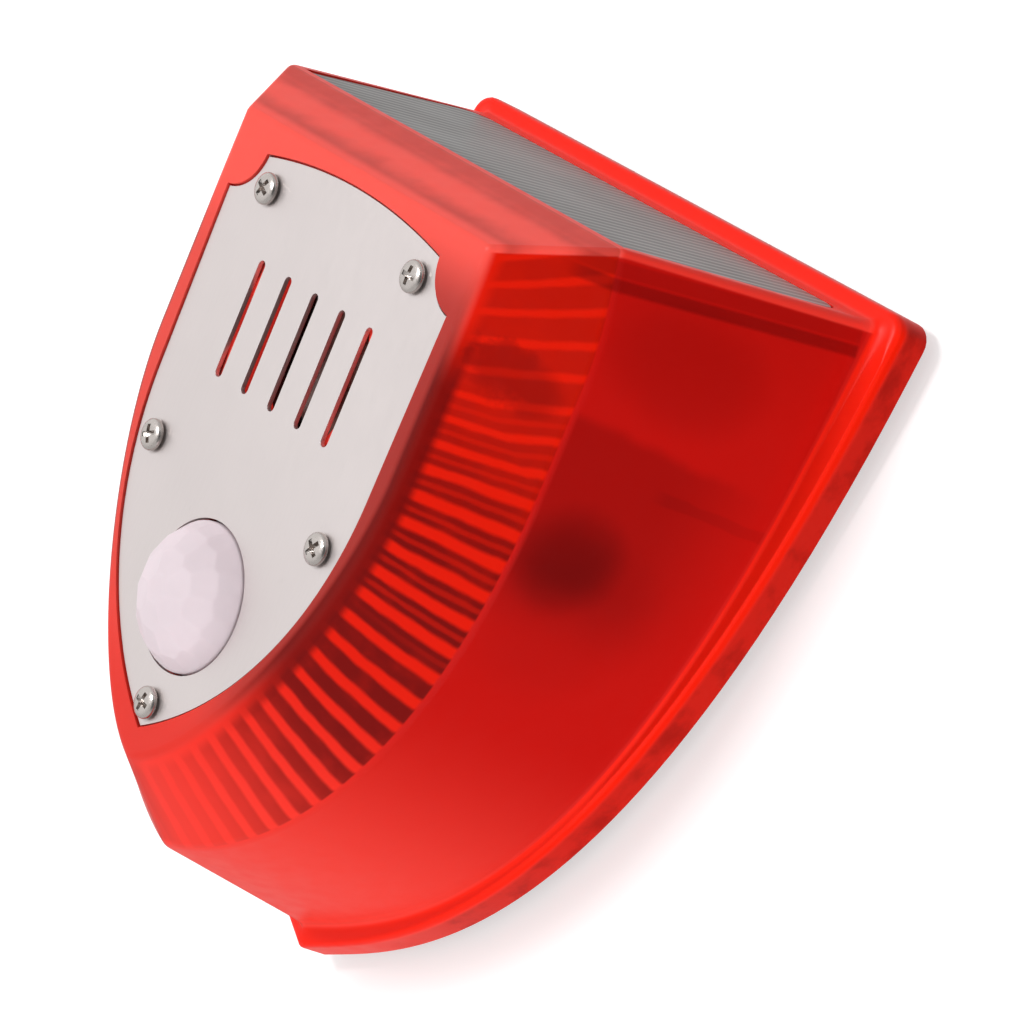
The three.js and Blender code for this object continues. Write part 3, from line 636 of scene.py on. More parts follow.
def band(value, low, high, soft_low, soft_high):
    """1 between two values, fading out over a distance past each."""
    return value.step(low - soft_low, low) * value.step(high + soft_high, high)


def rib_shade(finish, sizes):
    """How dark the bevel is, as painted shade and highlight from its inner prisms: dark between the prisms,
    bright along each, and stronger in the middle.
    """
    run = finish.attribute("rib_run")
    reach = finish.attribute("rib_reach")
    share = run / sizes.rib_count
    wobble = (finish.noise(5, 3) - 0.5) * 0.14
    lean = 0.012 * sizes.rib_count
    slanted = run + (reach * 2 - 1) * lean + wobble
    wave = slanted.zigzag()
    between = (wave - share.step(0.34, 0.2) * 0.14).step(0.78, 0.42)
    middle_line = wave.step(0.3, 0.05) * band(share, 0.2, 0.46, 0.04, 0.06)
    along = band(reach, 0.2, 0.985, 0.12, 0.03)
    strength = share.step(0.14, 0.42, 0.42, 1.0) * share.step(0.94, 0.62, 0.12, 1.0)
    unevenness = finish.noise(6, 3).step(0.25, 0.55, 0.82, 1.0)
    return (between - middle_line * 0.4) * along * strength * unevenness


# Painted shade on the sides, in soft dark patches: middle and reach in y and z, core, strength.
SIDE_PATCHES = (
    ((-31, 41), (17, 10), 0.05, 0.22),
    ((-34.4, 12.2), (11, 9), 0.02, 0.36),
    ((-30, 5), (18, 15), 0.0, 0.14),
)


def under_shade(finish):
    """How dark the sides are, in painted shade: patches painted by place, not worked out from the parts
    inside.
    """
    y, z = finish.axes()[1:]
    top_y, top_z = finish.axes(TOP)[1:]
    reach = finish.attribute("rib_reach")
    soft = (finish.noise(9, 3) - 0.5) * 2.4
    y, z = y + soft, z + soft
    # Painted shade of the dark inside showing through the sides: a broad bay and a thin line.
    bay_shade = band(y, -46, -26, 2, 20) * band(z, 11, 29, 12, 2)
    line = band(y, -24, -7.5, 4, 0.6) * band(z, 24.2, 25.4, 0.5, 0.5)
    inside = bay_shade * 0.36 + line * 0.14
    for middle, size, core, strength in SIDE_PATCHES:
        inside = inside + blob((y, z), middle, size, core) * strength
    inside = inside * reach.step(1.0, 1.1)
    # Painted shade: dark bands on the sides where the panel's seat lies behind them, its floor darker than
    # its wall.
    seat_floor_shade = band(top_z, -5.0, -4.0, 0.7, 0.6)
    seat_wall_shade = band(top_z, -3.2, -1.8, 0.5, 0.5)
    seat = (seat_floor_shade * 0.52 + seat_wall_shade * 0.26) * band(top_y, -3, 39.6, 3, 0.5) * reach.step(0.4, 0.9)
    return inside + seat


def red_cover_finish(colours, sizes):
    """Red plastic painted to look translucent: painted shade and highlight of the prisms in its bevel, dark
    patches of painted shade, and bright edges of painted glow.
    """
    finish = Finish("translucent_red")
    x, y, z = finish.axes()
    reach = finish.attribute("rib_reach")
    share = finish.attribute("rib_run") / sizes.rib_count
    cloud = finish.noise(16, 3)
    fine = finish.noise(3, 3)
    mottle = finish.noise(7, 4, 0.6).step(0.45, 0.7)
    on_bevel = band(reach, 0.1, 0.97, 0.08, 0.05)
    on_side = reach.step(0.9, 0.96)
    on_flange = y.step(-6.6, -5.8)
    # Painted shade: a dark strip on the bevel along the face's edge.
    front_strip_shade = band(reach, 0.02, 0.14, 0.03, 0.08) * band(share, 0.2, 0.62, 0.12, 0.2)
    # Painted shade: a dark blob on the bevel where a lamp sits inside.
    lamp = blob((y + mottle * 2, z - mottle * 2), (-50.4, 30), (5, 4.6), 0.2) * on_bevel
    # Painted highlight: a bright band along the flange's rounded ridge.
    ridge_highlight = band(y, -6.4, -4.9, 0.5, 0.8)
    # Painted shade, mottled, on the flange's outer side.
    flange_side_shade = y.step(-4.9, -3.6) * z.step(-58, -40) * z.step(60, 58.5)

    on_side = on_side * share.step(0.0, 0.004) * share.step(1.0, 0.996)
    low = z.step(-10, -52)
    lit = finish.mix(cloud, scaled(colours.red_lit, 0.92), colours.red_lit)
    lit = finish.mix(reach.step(1.0, 1.06), lit, colours.red_low)
    # Painted shade: the face turns from the lit red to a darker red towards the tip.
    front = finish.mix(z.step(-10, -36), lit, scaled(colours.red_low, 0.8))
    # Painted shade on the face's right-hand edge next to the bevel.
    beside_shade = reach.step(0.1, 0.0) * band(x, 22, 40, 16, 4) * band(z, -24, 34, 14, 10)
    front = finish.mix(beside_shade * 0.6, front, colours.red_shade)
    # Painted shade: the sides take a darker red at the top, turning to the low red towards the tip.
    walls = finish.mix(on_side, front, finish.mix(low, colours.red_side_shade, colours.red_low))
    # Painted glow: the bright red between the bevel's dark stripes, turning to the low red towards the tip.
    prisms = finish.mix(z.step(-10, -50), scaled(colours.red_glow, 0.74), colours.red_low)
    bevel = finish.mix(on_bevel * share.step(0.0, 0.003) * share.step(1.0, 0.96), walls, prisms)
    flange_red = finish.mix(z.step(-20, -50), colours.red_bright, colours.red_low)
    flange = finish.mix(on_flange, bevel, flange_red)
    # Painted shade on the flange's outer side.
    flange = finish.mix(flange_side_shade * (0.34 + mottle * 0.26), flange, colours.red_shade)
    # Painted highlight along the flange's ridge.
    flange = finish.mix(ridge_highlight, flange, colours.red_glow)
    shown = finish.mix(under_shade(finish) * (1 - on_flange), flange, colours.red_shade)
    shown = finish.mix(front_strip_shade * 0.85 + lamp * 0.4, shown, colours.red_shade)
    # Painted glow: the cover's wall round the siren opening and the flange's cove give off a red light of
    # their own.
    face_y, face_z = finish.axes(FACE)[1:]
    around_siren = ((x - SPEAKER[0]) ** 2 + (face_z - SPEAKER[1]) ** 2) ** 0.5
    opening_glow = band(face_y, 0.3, 14, 0.3, 1) * around_siren.step(15.6, 15.2)
    cove = band(y, -6.9, -5.6, 0.4, 0.5) * 0.3
    finish.surface(
        Base_Color=finish.mix(rib_shade(finish, sizes) * 0.9, shown, colours.red_shade),
        Roughness=fine.step(0.2, 0.8, 0.30, 0.40),
        IOR=1.5,
        Specular_IOR_Level=0.12,
        Subsurface_Weight=0.15,
        Subsurface_Radius=(1.0, 0.12, 0.06),
        Subsurface_Scale=0.002,
        # Emission paints a glow round the siren opening and in the cove, where there is no lamp.
        Emission_Color=finish.mix(opening_glow + cove, (0, 0, 0), colours.red_low),
        Emission_Strength=0.32,
    )
    finish.bump(finish.noise(0.5, 2), 0.08, 0.02)
    return finish.material


def satin_steel_finish(colours):
    """Satin stainless sheet: a fine vertical grain, slight clouds and a few faint rubs."""
    finish = Finish("satin_steel")
    grain = finish.noise(0.35, 3, 0.6, stretch=(1, 1, 0.03))
    cloud = finish.noise(22, 3)
    rub = finish.noise(3.0, 4, 0.7).step(0.62, 0.75)
    tone = finish.mix(cloud, scaled(colours.steel, 0.95), scaled(colours.steel, 1.04))
    finish.surface(
        Base_Color=finish.mix(rub * 0.25, tone, scaled(colours.steel, 0.9)),
        Metallic=0.85,
        Roughness=grain.step(0.3, 0.7, 0.36, 0.46),
    )
    finish.bump(grain, 0.05, 0.01)
    return finish.material


def bright_screw_finish(colours):
    """Bright nickel with faint turning marks."""
    finish = Finish("bright_nickel")
    mark = finish.noise(0.4, 3)
    stain = finish.noise(1.6, 3)
    finish.surface(
        Base_Color=finish.mix(stain, scaled(colours.screw, 0.82), scaled(colours.screw, 1.08)),
        Metallic=1.0,
        Roughness=mark.step(0.3, 0.7, 0.16, 0.3),
    )
    finish.bump(mark, 0.1, 0.01)
    return finish.material


def lens_finish(colours):
    """Milky polyethylene: softly lit through, with a faint pink cast of light from its neighbours painted
    into its colour.
    """
    finish = Finish("milky_lens")
    cloud = finish.noise(5, 3)
    finish.surface(
        Base_Color=finish.mix(cloud, scaled(colours.lens, 0.95), scaled(colours.lens, 1.05)),
        Roughness=cloud.step(0.2, 0.8, 0.5, 0.6),
        Specular_IOR_Level=0.3,
        Subsurface_Weight=0.2,
        Subsurface_Radius=(1.0, 0.8, 0.8),
        Subsurface_Scale=0.0015,
    )
    return finish.material


def solar_finish(colours, sizes):
    """Grey cell film under resin, crossed by fine pale lines from front to back, with painted shade along its
    front edge.
    """
    finish = Finish("solar_cells")
    x, y, z = finish.axes(TOP)
    line = (x / (sizes.panel_pitch / MM)).zigzag().step(0.5, 0.85)
    cloud = finish.noise(18, 3)
    # Painted shade: the cells darken towards the front edge, under the rim.
    front = y.step(9, 2)
    up = z.step(-PANEL_SINK - 0.4, -PANEL_SINK - 0.1)
    ground = finish.mix(cloud, scaled(colours.cell, 0.85), scaled(colours.cell, 1.15))
    lined = finish.mix(line * up, ground, colours.cell_line)
    finish.surface(
        Base_Color=finish.mix(front * 0.35, lined, scaled(colours.cell, 0.5)),
        Roughness=cloud.step(0.2, 0.8, 0.3, 0.4),
    )
    finish.bump(line, 0.05, 0.02)
    return finish.material


def board_finish():
    """Green solder mask with faint tracks."""
    finish = Finish("solder_mask")
    track_pitch, row_pitch = 1.9, 2.3
    x, z = finish.axes()[::2]
    tracks = (x / track_pitch).zigzag().step(0.82, 0.95)
    rows = (z / row_pitch).zigzag().step(0.85, 0.95)
    finish.surface(
        Base_Color=finish.mix(tracks * 0.5 + rows * 0.4, (0.01, 0.10, 0.03), (0.03, 0.22, 0.07)),
        Roughness=finish.noise(6, 2).step(0.2, 0.8, 0.3, 0.45),
    )
    return finish.material


# ---- Pieces ----------------------------------------------------------------------------------


def rounded(rings, corners, steps=4):
    """Rings through a row of outline rings, each inner one rounded by its own reach, point by point."""
    made = [rings[0]]
    for k in range(1, len(rings) - 1):
        before, here, after = rings[k - 1], rings[k], rings[k + 1]
        reach, share = corners[k - 1]
        for i in range(steps + 1):
            t = i / steps
            ring = []
            for a, b, c in zip(before, here, after):
                back, on = a - b, c - b
                start = b + back.normalized() * min(reach, back.length * share)
                end = b + on.normalized() * min(reach, on.length * share)
                ring.append(start.lerp(b, t).lerp(b.lerp(end, t), t))
            made.append(ring)
    made.append(rings[-1])
    return made


def face_ring(edge, depth):
    return [FACE @ Vector((p.x, depth, p.y)) for p in edge.loop()]


def wall_ring(edge, y):
    return [Vector((p.x, y, p.y)) for p in edge.loop()]


def cover_rings(sizes):
    """The outside of the cover as rings of points, from the face to the back of the flange."""
    flange = sizes.flange_thick / MM
    rings = [
        face_ring(FACE_EDGE.shrunk(1.6), 0),
        face_ring(FACE_EDGE, 0),
        face_ring(BEVEL_EDGE, sizes.bevel_depth / MM),
        wall_ring(ROOT_EDGE, -flange),
        wall_ring(FLANGE_EDGE, -flange),
        wall_ring(FLANGE_EDGE, 0),
        wall_ring(FLANGE_EDGE.shrunk(0.8), 0),
    ]
    corners = [
        (sizes.face_round / MM, 0.45),
        (sizes.bevel_round / MM, 0.45),
        (sizes.cove / MM, 0.6),
        (sizes.flange_round / MM, 0.4),
        (0.35, 0.4),
    ]
    return rounded(rings, corners)


def run_shares(ring):
    """How far round the right or left half each point of a ring is, from the top corner to the tip."""
    half = (len(ring) + 1) // 2
    lengths = [0.0]
    start = Edge.CORNER_STEPS
    for i in range(1, half):
        step = (ring[i] - ring[i - 1]).length if i > start else 0.0
        lengths.append(lengths[-1] + step)
    shares = [value / lengths[-1] for value in lengths]
    return shares + list(reversed(shares[:-1]))


def mark_ribs(mesh, rings, sizes):
    """Stores on each vertex how many prisms it is along the bevel, and how far across the bevel it is."""
    depth = sizes.bevel_depth / MM
    run_of = run_shares(face_ring(BEVEL_EDGE, depth))
    face_run = run_shares(face_ring(FACE_EDGE, 0))
    tree = KDTree(sum(len(ring) for ring in rings))
    values = []
    bevel_ring = face_ring(BEVEL_EDGE, depth)
    for ring in rings:
        for i, point in enumerate(ring):
            reach = (FACE_BACK @ point).y / depth
            if reach > 1:
                reach = 1 + (point - bevel_ring[i]).length / depth
            share = face_run[i] + (run_of[i] - face_run[i]) * min(1.0, max(0.0, reach))
            tree.insert(point * MM, len(values))
            values.append((share * sizes.rib_count, reach))
    tree.balance()
    run = mesh.attributes.new("rib_run", "FLOAT", "POINT")
    reach = mesh.attributes.new("rib_reach", "FLOAT", "POINT")
    for vertex in mesh.vertices:
        found = values[tree.find(vertex.co)[1]]
        run.data[vertex.index].value = found[0]
        reach.data[vertex.index].value = found[1]


def pocket_outline(margin=0.0):
    """The solar panel's seat on the sloping top: wider at the back, with rounded back corners."""
    front, back = 1.6 + margin, 38.2 - margin
    front_half, back_half = 38.4 - margin, 43.6 - margin
    radius = 4 - margin
    lean = math.atan2(back_half - front_half, back - front)
    centre = (back_half - radius - 0.4, back - radius)
    right = [Vector((front_half, front))]
    right += arc(centre, radius, -lean, math.pi / 2, 12)
    return mirrored(right)


def top_prism(name, outline, low, high):
    """An outline on the sloping top, filled between two heights."""
    return skin(name, [[(p.x, p.y, level) for p in outline] for level in (low, high)], TOP)


def face_spot(x, z):
    """The face's frame moved to a point on the face."""
    return FACE @ Matrix.Translation((x, 0, z))


class SIREN_OT_cover(bpy.types.Operator):
    """Build the translucent cover with its bevel, flange, panel seat and plate seat"""

    bl_idname = "siren.cover"
    bl_label = "Front Cover"

    def execute(self, context):
        sizes = context.scene.siren_sizes
        colours = context.scene.siren_colours
        wall = sizes.wall / MM
        rings = cover_rings(sizes)
        body = skin("cover", rings)
        hollow = skin(
            "hollow",
            [
                face_ring(FACE_EDGE.shrunk(0.4), 2.9),
                face_ring(BEVEL_EDGE.shrunk(wall), sizes.bevel_depth / MM + 0.8),
                wall_ring(ROOT_EDGE.shrunk(wall), 2),
            ],
        )
        recess = prism("recess", FLANGE_EDGE.shrunk(1.7).loop(), -3.8, 2)
        pocket_box = top_prism("pocket_box", pocket_outline(-0.9), -POCKET_DEPTH - 1.6, -0.4)
        collar = ring_mesh("collar", SPEAKER_HOLE + wall, SPEAKER_HOLE, 1.6, 13, face_spot(*SPEAKER))
        pocket = top_prism("pocket", pocket_outline(), -POCKET_DEPTH, 8)
        seat = prism("seat", plate_outline(0.3), -2, 1.3, FACE)
        holes = [
            prism("hole", circle(*SPEAKER, SPEAKER_HOLE, 72), -2, 15, FACE),
            prism("hole", circle(*SENSOR, SENSOR_HOLE, 72), -2, 15, FACE),
        ]
        holes += [prism("hole", circle(*on_face(n), SCREW_HOLE, 24), -2, 8, FACE) for n in FACE_SCREWS]
        mesh = combined(
            body,
            [
                ("DIFFERENCE", hollow),
                ("DIFFERENCE", recess),
                ("UNION", pocket_box),
                ("UNION", collar),
                ("DIFFERENCE", pocket),
                ("DIFFERENCE", seat),
                ("DIFFERENCE", joined("holes", holes)),
            ],
        )
        softened(mesh, TOP, 2, 0, sizes.rim_soft / MM, 3)
        softened(mesh, FACE, 1, 0, 0.15)
        mark_ribs(mesh, rings, sizes)
        finished("cover", mesh, red_cover_finish(colours, sizes), ["front_cover"], angle=40)
        return {"FINISHED"}


class SIREN_OT_face_plate(bpy.types.Operator):
    """Build the steel face plate with its sound slots and holes"""

    bl_idname = "siren.face_plate"
    bl_label = "Face Plate"

    def execute(self, context):
        sizes = context.scene.siren_sizes
        pitch = sizes.slot_pitch / MM
        radius = sizes.slot_width / MM / 2
        plate = prism("plate", plate_outline(), PLATE_SINK, PLATE_SINK + PLATE_THICK, FACE)
        cuts = []
        for i in range(sizes.slot_count):
            x = (i - (sizes.slot_count - 1) / 2) * pitch
            outline = slot_outline(x, 0, -sizes.slot_length / MM, radius)
            cuts.append(prism("slot", outline, -1, 3, FACE))
        cuts.append(prism("hole", circle(*SENSOR, SENSOR_HOLE, 80), -1, 3, FACE))
        cuts += [prism("hole", circle(*on_face(n), SCREW_HOLE, 24), -1, 3, FACE) for n in FACE_SCREWS]
        mesh = combined(plate, [("DIFFERENCE", joined("cuts", cuts))])
        softened(mesh, FACE, 1, PLATE_SINK, 0.14)
        material = satin_steel_finish(context.scene.siren_colours)
        finished("face_sheet", mesh, material, ["face_plate"])
        return {"FINISHED"}


def screw_mesh(length_below):
    """A pan head with a cross recess and a plain shank. The head rises to -Y and the shank runs to +Y."""
    head, rise = SCREW_HEAD, SCREW_RISE
    profile = [(0.02, -rise)]
    for i in range(1, 9):
        turn = math.pi / 2 * i / 8
        profile.append((head * math.sin(turn) ** 0.8, -0.35 - (rise - 0.35) * math.cos(turn) ** 0.9))
    profile += [(head, -0.12), (head - 0.12, 0), (1.2, 0), (1.2, length_below - 1), (0.02, length_below)]
    body = turned("screw", profile, 40)
    arms = []
    for turn in (0, math.pi / 2):
        spin = Matrix.Rotation(turn, 4, "Y")
        rings = [
            [(x * long, depth - rise, z * wide) for x, z in ((-1, 1), (1, 1), (1, -1), (-1, -1))]
            for long, wide, depth in ((1.35, 0.34, -0.2), (1.35, 0.34, 0.25), (0.35, 0.2, 0.95))
        ]
        arms.append(("DIFFERENCE", skin("arm", rings, spin)))
    return combined(body, arms)


def place_screws(nodes, mesh, material, frame_matrix, reversed_head=False):
    """Puts one screw at each node, each turned its own way."""
    for i, node in enumerate(nodes):
        size = mesh_depth(mesh)
        back = frame_matrix.to_3x3() @ Vector((0, 1, 0))
        sign = -1 if reversed_head else 1
        start = node_middle(node) - back * sign * (size[0] + size[1]) / 2
        flip = Matrix.Rotation(math.pi, 4, "Z") if reversed_head else Matrix.Identity(4)
        spin = Matrix.Rotation(0.5 + 1.1 * i, 4, "Y")
        turn = frame_matrix.to_3x3().to_4x4() @ flip @ spin
        placed = mesh.copy()
        placed.transform(Matrix.Translation(start * MM) @ turn)
        finished(f"{node}_pan_head", placed, material, [node], angle=35)


def mesh_depth(mesh):
    """The lowest and highest y of a mesh, in millimetres."""
    levels = [v.co.y / MM for v in mesh.vertices]
    return min(levels), max(levels)


class SIREN_OT_screws(bpy.types.Operator):
    """Build the face, board and rear screws"""

    bl_idname = "siren.screws"
    bl_label = "Screws"

    def execute(self, context):
        material = bright_screw_finish(context.scene.siren_colours)
        place_screws(FACE_SCREWS, screw_mesh(7), material, FACE)
        place_screws(BOARD_SCREWS, screw_mesh(6), material, FACE, True)
        place_screws(REAR_SCREWS, screw_mesh(11), material, Matrix.Identity(4), True)
        return {"FINISHED"}


def lens_way(lean, turn):
    """A direction from the middle of the lens's sphere: how far it leans from straight out, and which way."""
    return Vector((math.sin(lean) * math.cos(turn), -math.cos(lean), math.sin(lean) * math.sin(turn)))


def facet_centres(rings, reach):
    """Directions of the lens's facets: one in the middle and six more in each ring, evenly spread."""
    centres = [Vector((0, -1, 0))]
    for ring in range(1, rings + 1):
        lean = reach * ring / (rings + 0.35)
        for k in range(6 * ring):
            turn = 2 * math.pi * (k + 0.5 * (ring % 2)) / (6 * ring)
            centres.append(lens_way(lean, turn))
    return centres


class SIREN_OT_sensor_lens(bpy.types.Operator):
    """Build the domed sensor lens with its flat facets"""

    bl_idname = "siren.sensor_lens"
    bl_label = "Sensor Lens"

    def execute(self, context):
        rise, wall, rim, bore = 6.5, 0.8, 12.2, 9.5
        rim_front, rim_back = 3.2, 4.2
        sphere = (LENS_RADIUS**2 + rise**2) / (2 * rise)
        middle = Vector((0, PLATE_SINK - rise + sphere, 0))
        reach = math.asin(LENS_RADIUS / sphere)
        facet_rings, steps, inner_steps, blend = 3, 46, 10, 4
        centres = facet_centres(facet_rings, reach)
        facet = reach / (facet_rings + 0.35)
        sides = 180
        turns = [2 * math.pi * k / sides for k in range(sides)]
        rings = []
        for i in range(steps + 1):
            lean = reach * max(0.01, i / steps)
            ring = []
            for turn in turns:
                way = lens_way(lean, turn)
                flat = sphere * math.cos(facet * 0.4) / max(way.dot(c) for c in centres)
                share = min(1.0, (steps - i) / blend)
                ring.append(way * (sphere + (flat - sphere) * share) + middle)
            rings.append(ring)
        for radius, depth in ((LENS_RADIUS, rim_front), (rim, rim_front), (rim, rim_back), (bore, rim_back)):
            rings.append([Vector((p.x, depth, p.y)) for p in circle(0, 0, radius, sides)])
        inner_reach = math.asin(bore / (sphere - wall))
        for i in range(inner_steps, 0, -1):
            lean = inner_reach * i / inner_steps
            rings.append([lens_way(lean, turn) * (sphere - wall) + middle for turn in turns])
        mesh = skin("lens", rings, face_spot(*SENSOR))
        material = lens_finish(context.scene.siren_colours)
        finished("sensor_dome", mesh, material, ["pir_lens"], angle=40)
        return {"FINISHED"}


class SIREN_OT_solar_panel(bpy.types.Operator):
    """Build the solar panel in its seat"""

    bl_idname = "siren.solar_panel"
    bl_label = "Solar Panel"

    def execute(self, context):
        bottom = -PANEL_SINK - PANEL_THICK
        mesh = top_prism("panel", pocket_outline(PANEL_EDGE), bottom, -PANEL_SINK)
        softened(mesh, TOP, 2, -PANEL_SINK, 0.2)
        scene = context.scene
        material = solar_finish(scene.siren_colours, scene.siren_sizes)
        finished("solar_cells", mesh, material, ["solar_panel"])
        return {"FINISHED"}


class SIREN_OT_rear_cover(bpy.types.Operator):
    """Build the rear cover with its keyholes, screw seats and button guide"""

    bl_idname = "siren.rear_cover"
    bl_label = "Rear Cover"

    def execute(self, context):
        thick = 2.5
        head, slot, run, depth, wall = 4.3, 2.2, 8, 7, 1.5
        apart, height = 22, 30
        guide_radius, bore_radius = 6, 4.6
        keyholes = [Vector((side * apart, height)) for side in (-1, 1)]
        button = node_middle("power_button")
        plate = prism("plate", FLANGE_EDGE.shrunk(2).loop(), -thick, 0)
        cups = [
            box_mesh(
                "cup",
                (p.x - head - wall, -depth - wall, p.y - head - wall),
                (p.x + head + wall, -thick + 0.5, p.y + run + slot + wall),
            )
            for p in keyholes
        ]
        guide = prism("guide", circle(button.x, button.z, guide_radius, 48), -8, -thick + 0.5)
        cuts = []
        for p in keyholes:
            cuts.append(prism("head", circle(p.x, p.y, head, 40), -depth, 1))
            cuts.append(prism("slot", slot_outline(p.x, p.y + run + slot, p.y - slot, slot), -depth, 1))
            cuts.append(box_mesh("pocket", (p.x - head, -depth, p.y), (p.x + head, -thick, p.y + run + slot)))
        cuts.append(prism("bore", circle(button.x, button.z, bore_radius, 48), -9, 1))
        for node in REAR_SCREWS:
            middle = node_middle(node)
            cuts.append(prism("hole", circle(middle.x, middle.z, SCREW_HOLE, 24), -4, 1))
            seat = circle(middle.x, middle.z, SCREW_HEAD + 0.3, 32)
            cuts.append(prism("seat", seat, -SCREW_RISE - 0.6, 1))
        steps = [("UNION", joined("cups", [*cups, guide]))]
        steps += [("DIFFERENCE", cut) for cut in cuts]
        mesh = combined(plate, steps)
        softened(mesh, Matrix.Identity(4), 1, 0, 0.3)
        rear = tuple(context.scene.siren_colours.rear)
        material = grained("charcoal_grain", rear, 0.55, 0.5, 0.05)
        finished("rear_panel", mesh, material, ["rear_cover"])
        return {"FINISHED"}


class SIREN_OT_power_button(bpy.types.Operator):
    """Build the power button's cap and stem"""

    bl_idname = "siren.power_button"
    bl_label = "Power Button"

    def execute(self, context):
        low, high = node_box("power_button")
        face, stem, cap_back, edge = high.y, 1.8, -5.6, 0.7
        radius = (high.x - low.x) / 2
        profile = [(0.02, low.y), (stem, low.y), (stem, cap_back), (radius, cap_back), (radius, face - edge)]
        for i in range(1, 6):
            turn = math.pi / 2 * i / 5
            profile.append((radius - edge + edge * math.cos(turn), face - edge + edge * math.sin(turn)))
        profile += [(radius - 2 * edge, face), (radius - 1.8, face - 0.2), (0.02, face - 0.35)]
        middle = node_middle("power_button")
        mesh = turned("cap", profile, 48, Matrix.Translation((middle.x, 0, middle.z)))
        material = grained("button_rubber", (0.06, 0.06, 0.065), 0.62, 0.4, 0.04)
        finished("button_cap", mesh, material, ["power_button"], BUTTON_BODY)
        return {"FINISHED"}


class SIREN_OT_inside(bpy.types.Operator):
    """Give the parts inside the cover their finishes"""

    bl_idname = "siren.inside"
    bl_label = "Inside Parts"

    def execute(self, context):
        finishes = {
            board_finish(): ["main_board"],
            grained("black_grain", (0.02, 0.02, 0.022), 0.45): [
                "pir_ring", "siren_frame", "control_chip", "battery_holder", "power_switch",
            ],
            grained("pressed_metal", (0.62, 0.61, 0.58), 0.3, metallic=1.0): [
                "pir_sensor", "siren_magnet", "battery_clip_plus", "battery_clip_minus", "switch_bracket",
            ],
            grained("cone_film", (0.13, 0.075, 0.06), 0.5): ["siren_cone"],
            grained("foam_rubber", (0.015, 0.015, 0.015), 0.85, 0.6, 0.08): [
                "siren_gasket", "rear_seal", "panel_tape",
            ],
            grained("lamp_resin", (0.75, 0.05, 0.03), 0.12): LAMPS,
            grained("capacitor_sleeve", (0.02, 0.03, 0.09), 0.3): ["capacitor"],
            grained("copper_winding", (0.5, 0.2, 0.08), 0.35, 0.3, 0.06, 0.9): ["siren_coil"],
            grained("white_nylon", (0.78, 0.75, 0.68), 0.45): [
                "battery_socket", "solar_socket", "siren_socket",
            ],
            grained("cell_sleeve", (0.03, 0.12, 0.42), 0.28): ["battery_cell"],
            grained("red_insulation", (0.45, 0.012, 0.012), 0.45): [
                "battery_lead_red", "solar_lead_red", "siren_lead_red",
            ],
            grained("black_insulation", (0.015, 0.015, 0.015), 0.45): [
                "battery_lead_black", "solar_lead_black", "siren_lead_black",
            ],
        }
        for material, nodes in finishes.items():
            for node in nodes:
                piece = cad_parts[node]
                piece.data.materials.clear()
                piece.data.materials.append(material)
        return {"FINISHED"}


# ---- Stage -----------------------------------------------------------------------------------


def way_out(azimuth, elevation):
    """A direction from its azimuth, 0 being straight in front, and its elevation, in degrees."""
    around, up = math.radians(azimuth), math.radians(elevation)
    return Vector((math.sin(around) * math.cos(up), -math.cos(around) * math.cos(up), math.sin(up)))


def softbox(name, aim, azimuth, elevation, distance, size, power):
    """A square studio light that looks at the aim point."""
    lamp = bpy.data.lights.new(name, "AREA")
    lamp.shape = "SQUARE"
    lamp.size = size
    lamp.energy = power
    light = bpy.data.objects.new(name, lamp)
    bpy.context.scene.collection.objects.link(light)
    out = way_out(azimuth, elevation)
    light.location = aim + out * distance
    light.rotation_euler = (-out).to_track_quat("-Z", "Y").to_euler()
    return light


PAPER_GLOW = 0.54


def pale_surface(name, base, one_sided=False):
    """Plain pale studio paper. A one-sided sheet is clear from behind."""
    finish = Finish(name)
    cloud = finish.noise(400, 2)
    finish.surface(
        Base_Color=finish.mix(cloud, scaled(base, 0.99), base),
        Roughness=0.9,
        Specular_IOR_Level=0.1,
        Emission_Color=(1, 1, 1, 1),
        Emission_Strength=PAPER_GLOW,
    )
    if one_sided:
        behind = finish.node("ShaderNodeNewGeometry", out="Backfacing")
        clear = finish.node("ShaderNodeBsdfTransparent")
        solid = Wire(finish, finish.surface_node.outputs[0])
        mixed = finish.node("ShaderNodeMixShader", None, {0: behind, 1: solid, 2: clear})
        finish.fill(finish.output, {"Surface": mixed})
    return finish.material


def sheet_piece(name, half, level, facing, material):
    """A flat square sheet: level on Z for a floor, or on Y for a wall."""
    if facing == "Z":
        points = [(-half, -half, level), (half, -half, level), (half, half, level), (-half, half, level)]
    else:
        points = [(-half, level, -half), (half, level, -half), (half, level, half), (-half, level, half)]
    mesh = bpy.data.meshes.new(name)
    mesh.from_pydata(points, [], [(0, 1, 2, 3)])
    piece = new_piece(name, mesh)
    mesh.materials.append(material)
    piece.visible_diffuse = False
    piece.visible_glossy = False
    piece.visible_shadow = False
    return piece


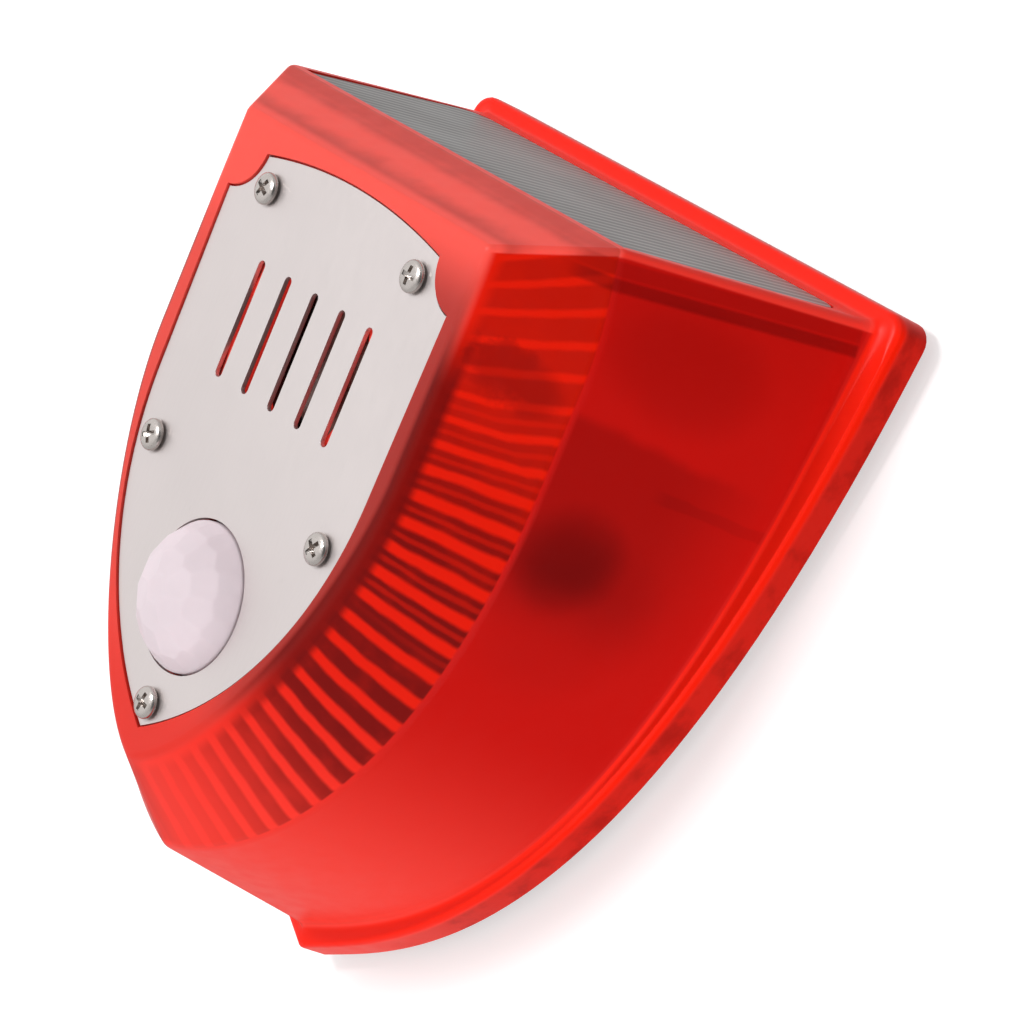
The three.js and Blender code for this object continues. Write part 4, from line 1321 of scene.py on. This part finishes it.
class SIREN_OT_stage(bpy.types.Operator):
    """Set up the camera, the pale studio and its soft lights"""

    bl_idname = "siren.stage"
    bl_label = "Studio"

    CAMERA_AZIMUTH = 47.93
    CAMERA_ELEVATION = 5.32
    CAMERA_ROLL = 27.24
    CAMERA_DISTANCE = 0.6505
    CAMERA_LENS = 165.6
    AIM = Vector((0.01054, -0.01678, 0.01112))
    ROOM_BRIGHT = 0.66
    ROOM_DARK = 0.1
    WALL_GAP = 0.0022

    def add_camera(self, scene):
        camera = bpy.data.objects.new("camera", bpy.data.cameras.new("camera"))
        scene.collection.objects.link(camera)
        scene.camera = camera
        camera.data.lens = self.CAMERA_LENS
        camera.data.clip_start = 0.05
        camera.data.clip_end = 50
        out = way_out(self.CAMERA_AZIMUTH, self.CAMERA_ELEVATION)
        look = (-out).to_track_quat("-Z", "Y").to_matrix().to_4x4()
        roll = Matrix.Rotation(math.radians(self.CAMERA_ROLL), 4, "Z")
        camera.matrix_world = Matrix.Translation(self.AIM + out * self.CAMERA_DISTANCE) @ look @ roll

    def add_world(self, scene):
        """A room that is bright in front and to the left, and darker behind the right side."""
        world = bpy.data.worlds.new("studio")
        scene.world = world
        world.use_nodes = True
        work = NodeWork(world.node_tree)
        background = world.node_tree.nodes["Background"]
        x, y, z = work.split(work.node("ShaderNodeTexCoord", out="Generated"))
        behind_right = x * 0.74 + y * 0.67 - z * 0.06
        front_right = x * 0.72 - y * 0.69 + z * 0.05
        below_behind = y * 0.7 - z * 0.7
        room = behind_right.step(0.92, 0.3, self.ROOM_DARK, self.ROOM_BRIGHT)
        room = room * front_right.step(0.96, 0.72, 0.2, 1.0)
        room = room * below_behind.step(0.95, 0.5, 0.75, 1.0)
        room = room + (x * -0.74 - y * 0.67).step(0.6, 0.92) * 0.3
        seen = work.node("ShaderNodeLightPath", out="Is Camera Ray")
        work.fill(background, {"Color": (1, 1, 1, 1), "Strength": seen + (1 - seen) * room})

    def execute(self, context):
        scene = context.scene
        scene.view_settings.view_transform = "Standard"
        self.add_camera(scene)
        self.add_world(scene)
        base = tuple(scene.siren_colours.floor)
        sheet_piece("floor", 6, CAD_BOX[0].z - 0.4, "Z", pale_surface("pale_floor", base))
        sheet_piece("wall", 6, CAD_BOX[1].y + self.WALL_GAP, "Y", pale_surface("pale_wall", base, True))
        middle = (CAD_BOX[0] + CAD_BOX[1]) / 2
        softbox("key", middle, azimuth=-8, elevation=10, distance=0.9, size=0.16, power=3.8)
        side = softbox("side", middle, azimuth=98, elevation=-30, distance=1.2, size=1.0, power=12.5)
        side.visible_glossy = False
        return {"FINISHED"}


PIECES = (
    SIREN_OT_cover,
    SIREN_OT_face_plate,
    SIREN_OT_screws,
    SIREN_OT_sensor_lens,
    SIREN_OT_solar_panel,
    SIREN_OT_rear_cover,
    SIREN_OT_power_button,
    SIREN_OT_inside,
    SIREN_OT_stage,
)


class SIREN_PT_panel(bpy.types.Panel):
    """Lists the siren's pieces, sizes and colours"""

    bl_idname = "SIREN_PT_panel"
    bl_label = "Solar Alarm Siren"
    bl_space_type = "VIEW_3D"
    bl_region_type = "UI"
    bl_category = "Siren"

    def draw(self, context):
        for piece in PIECES:
            self.layout.operator(piece.bl_idname)
        for group in (context.scene.siren_sizes, context.scene.siren_colours):
            column = self.layout.column(align=True)
            for name in group.bl_rna.properties.keys():
                if name not in ("rna_type", "name"):
                    column.prop(group, name)


CLASSES = (SirenSizes, SirenColours, *PIECES, SIREN_PT_panel)


def register():
    for cls in CLASSES:
        bpy.utils.register_class(cls)
    bpy.types.Scene.siren_sizes = bpy.props.PointerProperty(type=SirenSizes)
    bpy.types.Scene.siren_colours = bpy.props.PointerProperty(type=SirenColours)


def unregister():
    del bpy.types.Scene.siren_colours
    del bpy.types.Scene.siren_sizes
    for cls in reversed(CLASSES):
        bpy.utils.unregister_class(cls)


def main():
    register()
    for piece in PIECES:
        getattr(bpy.ops.siren, piece.bl_idname.split(".")[1])()


if __name__ == "__main__":
    main()
